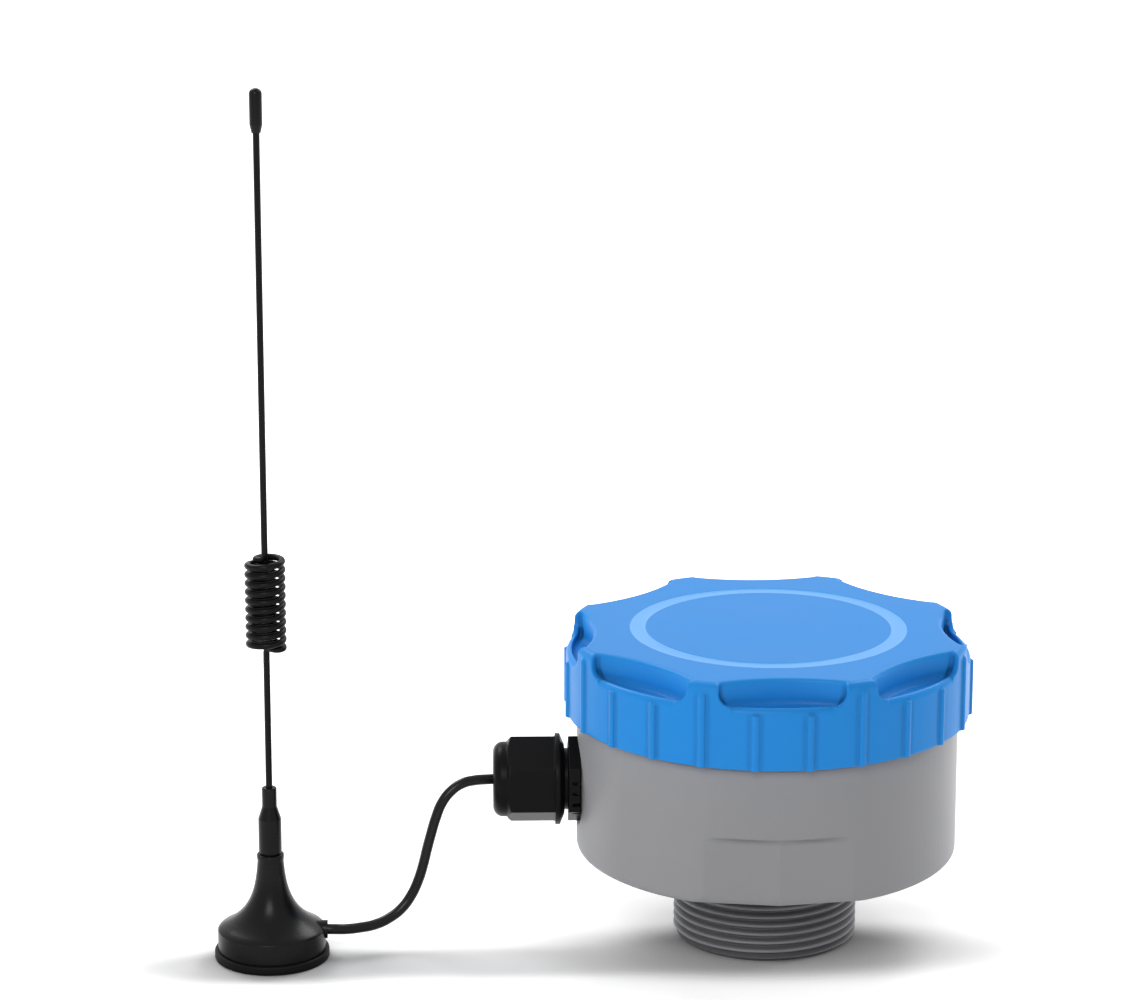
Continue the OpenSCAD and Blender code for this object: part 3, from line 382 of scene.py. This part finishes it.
def empty_material(name):
    """A material with only its output and its Principled shader."""
    made = bpy.data.materials.new(name)
    made.use_nodes = True
    tree = made.node_tree
    tree.nodes.clear()
    surface = tree.nodes.new("ShaderNodeOutputMaterial")
    shader = tree.nodes.new("ShaderNodeBsdfPrincipled")
    tree.links.new(shader.outputs[0], surface.inputs["Surface"])
    return made, tree, shader


def bump(tree, shader, height, depth):
    """Feeds a height through a Bump node into the shader's normal; depth is in metres."""
    lifted = add(tree, "ShaderNodeBump", {"Height": height, "Distance": depth, "Strength": 1.0})
    tree.links.new(lifted.outputs[0], shader.inputs["Normal"])


def plastic(name, colour, roughness, specular=0.5, drift=0.08, grain_scale=2200, depth=0.00002, shade=0):
    """Moulded plastic or rubber, from the moulded grain, with shade in its corners where asked."""
    made, tree, shader = empty_material(name)
    moulded = add(tree, "ShaderNodeGroup", node_tree=grain)
    moulded.inputs["Colour"].default_value = (*colour, 1)
    moulded.inputs["Roughness"].default_value = roughness
    moulded.inputs["Drift"].default_value = drift
    moulded.inputs["Grain"].default_value = grain_scale
    shown_colour = moulded.outputs["Colour"]
    if shade:
        corners = add(tree, "ShaderNodeGroup", node_tree=corner)
        tree.links.new(shown_colour, corners.inputs["Colour"])
        corners.inputs["Reach"].default_value = corner_reach
        corners.inputs["Depth"].default_value = shade
        shown_colour = corners.outputs["Colour"]
    tree.links.new(shown_colour, shader.inputs["Base Color"])
    tree.links.new(moulded.outputs["Roughness"], shader.inputs["Roughness"])
    shader.inputs["Specular IOR Level"].default_value = specular
    bump(tree, shader, moulded.outputs["Height"], depth)
    return made


def metal(name, colour, roughness, fineness=1800, depth=0.00001):
    """Bare or plated metal, from the metal lines."""
    made, tree, shader = empty_material(name)
    drawn_lines = add(tree, "ShaderNodeGroup", node_tree=lines)
    drawn_lines.inputs["Roughness"].default_value = roughness
    drawn_lines.inputs["Fineness"].default_value = fineness
    shader.inputs["Base Color"].default_value = (*colour, 1)
    shader.inputs["Metallic"].default_value = 1
    tree.links.new(drawn_lines.outputs["Roughness"], shader.inputs["Roughness"])
    bump(tree, shader, drawn_lines.outputs["Height"], depth)
    return made


finishes = {
    "housing_grey": plastic("housing_grey", (0.31, 0.31, 0.325), 0.4, 0.25, shade=2.6),
    "cap_blue": plastic("cap_blue", (0.02, 0.28, 0.78), 0.38, 0.14, shade=4.0),
    "seal_rubber": plastic("seal_rubber", (0.02, 0.02, 0.02), 0.7, 0.3),
    "lens_plastic": plastic("lens_plastic", (0.5, 0.5, 0.52), 0.3),
    "horn_metal": metal("horn_metal", (0.72, 0.72, 0.74), 0.35),
    "board_green": plastic("board_green", (0.02, 0.16, 0.06), 0.35),
    "chip_black": plastic("chip_black", (0.02, 0.02, 0.022), 0.45),
    "screw_steel": metal("screw_steel", (0.62, 0.62, 0.64), 0.3),
    "shield_metal": metal("shield_metal", (0.6, 0.61, 0.63), 0.4),
    "plug_brass": metal("plug_brass", (0.75, 0.52, 0.2), 0.3),
    "holder_black": plastic("holder_black", (0.015, 0.015, 0.017), 0.5),
    "cell_sleeve": plastic("cell_sleeve", (0.05, 0.25, 0.1), 0.22),
    "contact_metal": metal("contact_metal", (0.65, 0.65, 0.67), 0.28),
    "button_red": plastic("button_red", (0.5, 0.03, 0.02), 0.3),
    "gland_black": plastic("gland_black", (0.006, 0.006, 0.006), 0.32, 0.06),
    "cable_black": plastic("cable_black", (0.005, 0.005, 0.005), 0.22, 0.2),
    "antenna_black": plastic("antenna_black", (0.004, 0.004, 0.004), 0.27, 0.14),
    "foot_rubber": plastic("foot_rubber", (0.005, 0.005, 0.005), 0.5, 0.1),
    "magnet_metal": metal("magnet_metal", (0.2, 0.2, 0.21), 0.5),
    "yoke_steel": metal("yoke_steel", (0.42, 0.42, 0.44), 0.4),
    "whip_black": plastic("whip_black", (0.004, 0.004, 0.004), 0.3, 0.1),
}
print("materials:", len(finishes))

# %% [markdown]
# ## The ring in the cap's top
# A ring 4 mm wide is sunk into the cap's top, and its colour is paler than the satin top round it. It is
# part of the same moulding, so it is no piece of its own: the cap's colour changes with the distance
# from the cap's axis. Two soft steps make the mask.
# %% Cap: the paler ring
ring_in, ring_out, ring_from = 31.7 * MM, 35.7 * MM, 82.5 * MM
edge_blur, height_blur = 0.3 * MM, 0.2 * MM
ring_colour = (0.18, 0.5, 1, 1)
tree = finishes["cap_blue"].node_tree
shader = next(node for node in tree.nodes if node.type == "BSDF_PRINCIPLED")
skin = next(node for node in tree.nodes if node.type == "GROUP" and node.node_tree == corner)
spot = add(tree, "ShaderNodeSeparateXYZ", {0: add(tree, "ShaderNodeTexCoord").outputs["Object"]})
x_squared = math_node(tree, "MULTIPLY", spot.outputs[0], spot.outputs[0])
y_squared = math_node(tree, "MULTIPLY", spot.outputs[1], spot.outputs[1])
from_axis = math_node(tree, "SQRT", math_node(tree, "ADD", x_squared, y_squared), 0)


def step_up(value, edge, width):
    """A mask that rises from 0 to 1 as value passes edge, over a width."""
    return map_range(tree, value, edge - width / 2, edge + width / 2)


past_inner = step_up(from_axis, ring_in, edge_blur)
past_outer = step_up(from_axis, ring_out, edge_blur)
between = math_node(tree, "SUBTRACT", past_inner, past_outer)
ring_mask = math_node(tree, "MULTIPLY", between, step_up(spot.outputs[2], ring_from, height_blur))
paler = add(
    tree, "ShaderNodeMix", {0: ring_mask, 6: skin.outputs["Colour"], 7: ring_colour}, data_type="RGBA"
)
tree.links.new(paler.outputs[2], shader.inputs["Base Color"])
print("cap ring: radius", ring_in, "to", ring_out)

# %% [markdown]
# ## Every node gets its finish
# The record names a material slot for each node of the frame, and the slot's name picks the finish. So
# the pieces inside, which show only when the sensor is opened, are finished as well as those outside.
# %% Dress every node of the frame
slots = {row["node"]: row["material_slot"] for row in frame["record"]["subparts"]}
for name, node in nodes.items():
    node.data.materials.clear()
    node.data.materials.append(finishes[slots[name]])
print("dressed", len(slots), "nodes")

# %% [markdown]
# ## The cap
# One injection-moulded piece with eight finger scoops and 24 grip ribs. Its solid is exact and
# sharp, and a mould rounds everything, most of all the lips that the fingertips hook behind. So the
# lips are rounded first, with one cutter made from a turned ring and eight blocks, and then the skin is
# rebuilt. Its top and lips are relaxed, and the rim and the edges round the scoops a little more. The
# skirt below them isn't relaxed, so that its ribs stay crisp.
# %% Cap: sizes
scoops = 8
lobe_turn = 2 * math.pi / scoops
skirt_r, lip_z, lip_round = 52.2, 77.5, 1.6
lip_in = skirt_r - lip_round
scoop_half, pillar_room = 15.8, 3
block_out, block_deep, block_tall = 51, 8, 6
spare = 1
cap_cell = 0.3
cap_piece = copy_of("cap", "moulded_cap")


def beside_scoop(x, y):
    """Distance along and out from the middle line of the nearest scoop, in millimetres."""
    turn = math.atan2(y, x)
    off = turn - round(turn / lobe_turn) * lobe_turn
    reach = math.hypot(x, y)
    return abs(reach * math.sin(off)), reach * math.cos(off)


# %% Cap: the round on the lips
lip_ring = turned("lip_ring", [
    (lip_in, lip_z, 0), (skirt_r, lip_z, lip_round), (skirt_r, lip_z - lip_round, 0),
    (skirt_r + spare, lip_z - lip_round, 0), (skirt_r + spare, lip_z + spare, 0),
    (lip_in, lip_z + spare, 0), (lip_in, lip_z, 0),
], steps=192)
blocks = []
for number in range(scoops):
    deselect()
    turn = number * lobe_turn
    middle = Vector((math.cos(turn), math.sin(turn), 0)) * block_out + Vector((0, 0, lip_z))
    bpy.ops.mesh.primitive_cube_add(size=MM, location=middle * MM, rotation=(0, 0, turn))
    blocks.append(bpy.context.object)
    blocks[-1].scale = (block_deep, 2 * (scoop_half - pillar_room), block_tall)
deselect()
for block in blocks:
    block.select_set(True)
bpy.context.view_layer.objects.active = blocks[0]
bpy.ops.object.join()
settle(blocks[0])
combine(lip_ring, blocks[0], "INTERSECT")
combine(cap_piece, lip_ring, "DIFFERENCE")

# %% Cap: soft skin
top_low, lip_low, lip_out = 81.6, 74.5, 51.8
scoop_low, scoop_in, scoop_side = 76, 44, 17.5
rim_low, rim_in = 80, 41


def on_top(x, y, z):
    """Whether a point is on the top face or behind the skirt's outside, where the lips are."""
    return z > top_low or (z > lip_low and math.hypot(x, y) < lip_out)


def on_scoop_edge(x, y, z):
    """Whether a point is on the edges round a scoop."""
    along, out = beside_scoop(x, y)
    return z > scoop_low and out > scoop_in and along < scoop_side


def on_rim(x, y, z):
    """Whether a point is on the rim of the top face."""
    return z > rim_low and beside_scoop(x, y)[1] > rim_in


soften(
    cap_piece, cap_cell, skin_limit,
    ("top", 3, on_top), ("scoop_edges", 6, on_scoop_edge), ("rim", 10, on_rim),
)
dress(cap_piece, "cap", "cap_blue", finishes["cap_blue"], "cap")

# %% [markdown]
# ## The cable gland
# Moulded in black polyamide: a body with a hexagonal flange, and a dome nut. Both have their solids'
# shapes with the edges taken off, so their skins are rebuilt from fine cells.
# %% Gland body and nut
gland_cell, gland_limit = 0.16, 60000
gland_piece = copy_of("gland_body", "moulded_gland")
soften(gland_piece, gland_cell, gland_limit, ("all", 3, None))
dress(gland_piece, "transmitter", "gland_black", finishes["gland_black"], "gland_body")
nut_piece = copy_of("gland_nut", "moulded_nut")
soften(nut_piece, gland_cell, gland_limit, ("all", 3, None))
dress(nut_piece, "gland_nut", "gland_black", finishes["gland_black"], "gland_nut")

# %% [markdown]
# ## The housing
# One grey moulding with a pipe thread round its spigot. The solid carries plain rings there, so the
# rings are cut away and a true helical thread takes their place. The body's skin is rebuilt, and
# relaxed on the outside only, so that the neck's thread and the seats inside keep their edges.
# %% Housing: body
core_r, past_rings, cut_low, cut_high = 22.2, 25, -1, 22
skin_low, skin_high, skin_in, floor_high = 23, 62, 44, 27
housing_cell = 0.35
housing_piece = copy_of("housing", "moulded_housing")
ring_cutter = turned("ring_cutter", [
    (core_r, cut_low, 0), (past_rings, cut_low, 0), (past_rings, cut_high, 0), (core_r, cut_high, 0),
    (core_r, cut_low, 0),
], steps=128)
combine(housing_piece, ring_cutter, "DIFFERENCE")


def on_skin(x, y, z):
    """Whether a point is on the outside of the body, between the spigot and the neck."""
    return skin_low < z < skin_high and (math.hypot(x, y) > skin_in or z < floor_high)


soften(housing_piece, housing_cell, skin_limit, ("skin", 4, on_skin))
dress(housing_piece, "transmitter", "housing_grey", finishes["housing_grey"], "housing")

# %% [markdown]
# ## The process thread
# A thread is one groove profile carried round and up. One pitch of the profile is drawn as a chain of
# edges and screwed up the spigot, cut flat at both ends, and kept only where a turned sleeve lies. The
# sleeve's lower edge has the chamfer that lets the thread start.
# %% Process thread
thread_r, thread_root, pitch, half_angle = 23.9, 22.42, 2.309, 27.5
crest_round, root_round = 0.3, 0.25
thread_turns, thread_low, thread_high = 13, -0.5, 23
sleeve_bore, lead_r, sleeve_r, lead_high, sleeve_high = 21.2, 22.6, 24.4, 1.8, 22.2
flank = (thread_r - thread_root) * math.tan(math.radians(half_angle))
land = (pitch - 2 * flank) / 2
groove = rounded([
    (thread_root, 0, 0), (thread_root, land / 2, root_round), (thread_r, land / 2 + flank, crest_round),
    (thread_r, land * 1.5 + flank, crest_round), (thread_root, land * 1.5 + 2 * flank, root_round),
    (thread_root, pitch, 0),
], steps=4)
thread_piece = draw_chain("process_thread", [(r, 0, z - 2 * pitch) for r, z in groove])
apply(
    thread_piece, "SCREW", angle=2 * math.pi, screw_offset=pitch * MM, iterations=thread_turns,
    steps=96, render_steps=96, use_merge_vertices=True, merge_threshold=2 * same_spot,
)
for height, cleared in ((thread_low, {"clear_inner": True}), (thread_high, {"clear_outer": True})):
    pick(thread_piece)
    bpy.ops.object.mode_set(mode="EDIT")
    bpy.ops.mesh.select_all(action="SELECT")
    bpy.ops.mesh.bisect(plane_co=(0, 0, height * MM), plane_no=(0, 0, 1), use_fill=True, **cleared)
    bpy.ops.object.mode_set(mode="OBJECT")
close_up(thread_piece)
sleeve = turned("sleeve", [
    (sleeve_bore, 0, 0), (lead_r, 0, 0), (sleeve_r, lead_high, 0), (sleeve_r, sleeve_high, 0),
    (sleeve_bore, sleeve_high, 0), (sleeve_bore, 0, 0),
])
combine(thread_piece, sleeve, "INTERSECT")
smooth(thread_piece, 35)
dress(thread_piece, "transmitter", "housing_grey", finishes["housing_grey"], "housing")

# %% [markdown]
# ## The antenna's foot, shell and ferrule
# All three are turned. The shell's side is one curve: going up, its distance from the neck's radius
# shrinks by a fixed share each millimetre. Its boss for the cable is a cylinder joined on and bored out.
# %% Antenna shell
ant = Vector((-128.6, -15.6, 0))
bell_foot, bell_neck, bell_flare, bell_fall = 8.3, 3, 10.3, 5.4
bell_step, bell_points = 0.6, 31
shell_low, shell_r, side_high = 1, 13.9, 7.7
magnet_well_r, magnet_well_high = 10.9, 5.7
collar_r, collar_low, shell_high = 3.5, 26.9, 28
stem_hole_r, stem_low = 2.1, 20
boss_height = 7.1
bell = [
    (bell_neck + bell_flare * math.exp(-(z - bell_foot) / bell_fall), z, 0)
    for z in (bell_foot + bell_step * step for step in range(bell_points))
]
shell_piece = turned("bell_shell", [
    (0, magnet_well_high, 0), (magnet_well_r, magnet_well_high, 0), (magnet_well_r, shell_low, 0),
    (shell_r, shell_low, 0.3), (shell_r, side_high, 0.4), *bell,
    (collar_r, collar_low, 0), (collar_r, shell_high, 0.3), (stem_hole_r, shell_high, 0),
    (stem_hole_r, stem_low, 0), (0, stem_low, 0),
], ant, steps=144)
for radius, start, end, action in ((2.35, 11.2, 14.4, "UNION"), (1.45, 11.4, 15, "DIFFERENCE")):
    deselect()
    bpy.ops.mesh.primitive_cylinder_add(
        vertices=64, radius=radius * MM, depth=(end - start) * MM,
        location=(ant + Vector(((start + end) / 2, 0, boss_height))) * MM,
        rotation=(0, math.radians(90), 0),
    )
    round_bar = bpy.context.object
    settle(round_bar)
    combine(shell_piece, round_bar, action)
smooth(shell_piece)
dress(shell_piece, "transmitter", "antenna_black", finishes["antenna_black"], "antenna_shell")

# %% Antenna foot
foot_r, foot_round, foot_high, foot_well_r = 14.8, 0.5, 2.3, 13.95
foot_piece = turned("rubber_foot", [
    (0, 0, 0), (foot_r, 0, foot_round), (foot_r, foot_high, foot_round), (foot_well_r, foot_high, 0),
    (foot_well_r, shell_low, 0), (0, shell_low, 0),
], ant, steps=144)
smooth(foot_piece)
dress(foot_piece, "transmitter", "foot_rubber", finishes["foot_rubber"], "antenna_foot")

# %% Whip ferrule and tip
stem_r, groove_r, barrel_r, ferrule_neck_r, wire_hole_r = 1.95, 2.5, 2.95, 1.9, 0.9
barrel_low, barrel_high, cone_high, ferrule_high = 28.35, 37.5, 40.8, 45.9
tip_low, tip_cone_high, tip_high, tip_low_r, tip_r, wire_high = 215, 217, 226, 1.15, 1.6, 223
ferrule_piece = turned("ferrule", [
    (0, stem_low, 0), (stem_r, stem_low, 0), (stem_r, shell_high, 0), (groove_r, shell_high, 0),
    (groove_r, barrel_low, 0), (barrel_r, barrel_low, 0.25), (barrel_r, barrel_high, 0.2),
    (ferrule_neck_r, cone_high, 0.5), (ferrule_neck_r, ferrule_high, 0.4), (wire_hole_r, ferrule_high, 0),
    (wire_hole_r, barrel_high, 0), (0, barrel_high, 0),
], ant, steps=64)
smooth(ferrule_piece)
dress(ferrule_piece, "transmitter", "antenna_black", finishes["antenna_black"], "whip_ferrule")
tip_piece = turned("whip_cap", [
    (wire_hole_r, tip_low, 0), (tip_low_r, tip_low, 0), (tip_r, tip_cone_high, 0.6),
    (tip_r, tip_high, 1.4), (0, tip_high, 0), (0, wire_high, 0), (wire_hole_r, wire_high, 0),
    (wire_hole_r, tip_low, 0),
], ant, steps=48)
smooth(tip_piece)
dress(tip_piece, "transmitter", "antenna_black", finishes["antenna_black"], "whip_tip")

# %% [markdown]
# ## The antenna cable
# A thin coaxial cable, 2.7 mm over its jacket. It leaves the gland's nut straight out, hangs down in
# one loose S and runs into the boss on the antenna's foot. It could be a simulated rope, but it is
# held at both ends and stiff, so a smooth curve through its own route is exact and repeatable. The
# free stretch starts inside the gland, where it meets the stretch that the gland holds.
# %% Cable: the free stretch
cable_points = [
    (-62, 0, 42.3), (-66, 0, 42.3), (-70, 0, 42.3), (-73, -0.3, 42.3), (-76, -1, 42.3),
    (-79, -2, 41.9), (-82, -3, 40.2), (-84.5, -3.9, 37.2), (-86.2, -4.5, 33.1), (-87.4, -5, 29.1),
    (-88.5, -5.4, 25), (-89.5, -5.9, 21), (-90.8, -6.4, 16.9), (-92.6, -7.1, 13.1),
    (-95, -8.2, 10), (-98.3, -9.7, 7.8), (-102, -11.3, 6.6), (-106, -13, 6.4),
    (-109.5, -14.5, 6.6), (-112.5, -15.5, 7), (-114.5, -15.6, 7.1), (-116, -15.6, 7.1),
    (-117.2, -15.6, 7.1),
]
tail_points = [
    (-62, 0, 42.3), (-58, 0, 42.3), (-54, 0, 42.3), (-50, 0, 42.3), (-46, 0, 42.3), (-42, 0, 42.3),
    (-38, 0, 42.3), (-35.2, 2, 43.8), (-33.6, 5, 47.3), (-32.8, 9, 50.5), (-32.5, 13.4, 51.2),
    (-32.5, 16.4, 49.2), (-32.5, 17, 46.9), (-32.5, 17, 45), (-32.5, 17, 43.8),
]
cable_r = 1.35 * MM


def soft_tube(name, points_mm, radius, roundness=6, steps=8):
    """A round tube along a smooth curve through the points, with a number of steps between them."""
    curve = bpy.data.curves.new(name, "CURVE")
    curve.dimensions = "3D"
    curve.bevel_depth = radius
    curve.bevel_resolution = roundness
    curve.use_fill_caps = True
    spline = curve.splines.new("BEZIER")
    spline.bezier_points.add(len(points_mm) - 1)
    spline.resolution_u = steps
    for knot, point in zip(spline.bezier_points, points_mm):
        knot.co = Vector(point) * MM
        knot.handle_left_type = "AUTO"
        knot.handle_right_type = "AUTO"
    tube = bpy.data.objects.new(name, curve)
    scene.collection.objects.link(tube)
    return tube


antenna_lead = soft_tube("antenna_lead", cable_points, cable_r)
dress(antenna_lead, "transmitter", "cable_black", finishes["cable_black"], "antenna_cable")
inner_lead = soft_tube("inner_lead", tail_points, cable_r)
dress(inner_lead, "transmitter", "cable_black", finishes["cable_black"], "cable_tail")

# %% [markdown]
# ## The whip
# The whip is one spring wire with a loading coil wound into it. Up the axis it bends over, runs out
# in a spiral to the coil's radius, winds ten turns, and comes back to the axis the same way. A curve
# with a round section follows that path, which is how the wire is really bent.
# %% Whip wire
coil_z, coil_turns, coil_pitch, coil_r, whip_r = 83.2, 10, 2.28, 4.4, 0.85
coil_steps = 24  # points in one turn of the coil
bend_r = 1.4
turn_in, turn_out = -0.12, 0.45
coil_top = coil_z + coil_turns * coil_pitch


def whip_spot(r, turn, z):
    """A point at a radius, turn and height round the antenna's axis, in millimetres."""
    return ant + Vector((r * math.cos(turn * 2 * math.pi), r * math.sin(turn * 2 * math.pi), z))


def wire_end(turn, z, side):
    """The way from the straight wire out to the coil: a quarter bend, then a spiral."""
    bend = [
        whip_spot(bend_r * (1 - math.cos(a)), turn, z + side * bend_r * (1 - math.sin(a)))
        for a in (step * math.pi / 12 for step in range(7))
    ]
    spiral = [
        whip_spot(bend_r + (coil_r - bend_r) * math.sin(t * math.pi / 2), turn * (1 - t * t), z)
        for t in (step / 8 for step in range(1, 8))
    ]
    return bend + spiral


whip_path = [whip_spot(0, 0, z) for z in (barrel_high, coil_z - 4 * bend_r)]
whip_path += wire_end(turn_in, coil_z, -1)
whip_path += [
    whip_spot(coil_r, step / coil_steps, coil_z + step / coil_steps * coil_pitch)
    for step in range(coil_turns * coil_steps + 1)
]
whip_path += reversed(wire_end(turn_out, coil_top, 1))
whip_path += [whip_spot(0, 0, z) for z in (coil_top + 4 * bend_r, wire_high)]
whip = soft_tube("whip", whip_path, whip_r * MM, roundness=4, steps=2)
dress(whip, "transmitter", "whip_black", finishes["whip_black"], "whip_wire")

# %% [markdown]
# ## The floor
# The sensor stands on a white sweep, which must show the soft shadow and still be white. So the floor
# glows a little, though only to the camera and in what gloss and glass show, and it lights nothing. The
# glow grows with the distance from the sensor. It is taken away in soft ovals under the spigot, under
# the antenna's foot and between the two. That paints the outline of a contact shadow, and inside the
# ovals the floor's own lit shade shows. The floor's colour also carries painted shade near the sensor.
# %% Floor
floor_size, floor_tone = 6, (0.9, 0.9, 0.9, 1)
contact_reach, contact_depth = 25 * MM, 0.9
glow_middle = (-0.05, 0, 0)
glow_near, glow_from, glow_to = 0.5, 0.1, 0.3
oval_from, oval_to = 0.5, 1.15
painted_shadow_ovals = [  # middle, half width, half depth, and the glow that is left in the middle
    ((0, -0.016, 0), 0.07, 0.022, 0),
    ((-0.1286, -0.024, 0), 0.045, 0.014, 0),
    ((-0.07, -0.022, 0), 0.07, 0.012, 0.3),
]
deselect()
bpy.ops.mesh.primitive_plane_add(size=floor_size, location=(0, 0, 0))
floor = bpy.context.object
floor.name = "floor"
floor_white = bpy.data.materials.new("floor_white")
floor_white.use_nodes = True
tree = floor_white.node_tree
tree.nodes.clear()
# Painted shade: the floor's colour is darkened where the sensor closes it in, within a 25 mm reach.
contact = add(tree, "ShaderNodeGroup", node_tree=corner)
contact.inputs["Colour"].default_value = floor_tone
contact.inputs["Reach"].default_value = contact_reach
contact.inputs["Depth"].default_value = contact_depth
lit = add(tree, "ShaderNodeBsdfDiffuse", {"Color": contact.outputs["Colour"]})
spot = add(tree, "ShaderNodeTexCoord").outputs["Object"]
away = vector_node(tree, "DISTANCE", spot, glow_middle)
rise = map_range(tree, away, glow_from, glow_to, glow_near)
# Painted shadow: inside each oval the glow is taken away, so the floor's lit shade shows there.
for oval_middle, wide, deep, left in painted_shadow_ovals:
    moved = vector_node(tree, "SUBTRACT", spot, oval_middle)
    ring = vector_node(tree, "LENGTH", vector_node(tree, "MULTIPLY", moved, (1 / wide, 1 / deep, 0)))
    outside_painted_shadow = map_range(tree, ring, oval_from, oval_to, left, interpolation_type="SMOOTHSTEP")
    rise = math_node(tree, "MULTIPLY", rise, outside_painted_shadow)
strength = math_node(tree, "MULTIPLY", shown_directly(tree), rise)
glow = add(tree, "ShaderNodeEmission", {"Color": (1, 1, 1, 1), "Strength": strength})
shown = add(tree, "ShaderNodeAddShader", {0: lit.outputs[0], 1: glow.outputs[0]})
add(tree, "ShaderNodeOutputMaterial", {"Surface": shown.outputs[0]})
floor.data.materials.append(floor_white)

# %% [markdown]
# ## World and lamps
# The world is white to the camera and in reflections, and a dim grey as a light. Five soft lamps stand
# round the sensor: one in front, two behind it that light the cap's top, and one at each side that
# draw the ribs and flats. Those at the sides stand low, so they are kept out of reflections, where
# they would wash out the cap's top for a camera on the other side.
# %% World
light_level = 0.25
world = bpy.data.worlds.new("studio")
scene.world = world
world.use_nodes = True
tree = world.node_tree
tree.nodes.clear()
white = add(tree, "ShaderNodeBackground", {"Color": (1, 1, 1, 1), "Strength": 1.0})
dim = add(tree, "ShaderNodeBackground", {"Color": (1, 1, 1, 1), "Strength": light_level})
mixed = add(tree, "ShaderNodeMixShader", {0: shown_directly(tree), 1: dim.outputs[0], 2: white.outputs[0]})
add(tree, "ShaderNodeOutputWorld", {"Surface": mixed.outputs[0]})


# %% Lamps
def soft_lamp(name, place, aim, size, power):
    """A square area lamp at a place, turned to look at aim."""
    data = bpy.data.lights.new(name, "AREA")
    data.size = size
    data.energy = power
    lamp = bpy.data.objects.new(name, data)
    scene.collection.objects.link(lamp)
    lamp.location = place
    lamp.rotation_euler = (Vector(aim) - Vector(place)).to_track_quat("-Z", "Y").to_euler()
    return lamp


middle = Vector((-0.03, 0, 0.06))
lamp_distance, lamp_size = 1.2, 0.45
lamp_rows = [  # name, degrees round from the front, degrees up, watts, and whether reflections show it
    ("front", -14, 34, 5.0, True), ("left", -98, 12, 4.8, False), ("right", 116, 14, 5.4, False),
    ("back_left", -145, 45, 4.4, True), ("back_right", 142, 45, 4.2, True),
]
for name, turn, height, power, reflected in lamp_rows:
    turn, height = math.radians(turn), math.radians(height)
    way = Vector((math.sin(turn) * math.cos(height), -math.cos(turn) * math.cos(height), math.sin(height)))
    lamp = soft_lamp(name, middle + lamp_distance * way, middle, lamp_size, power)
    lamp.visible_glossy = reflected
print("lamps:", len(lamp_rows), "of", sum(row[3] for row in lamp_rows), "W")
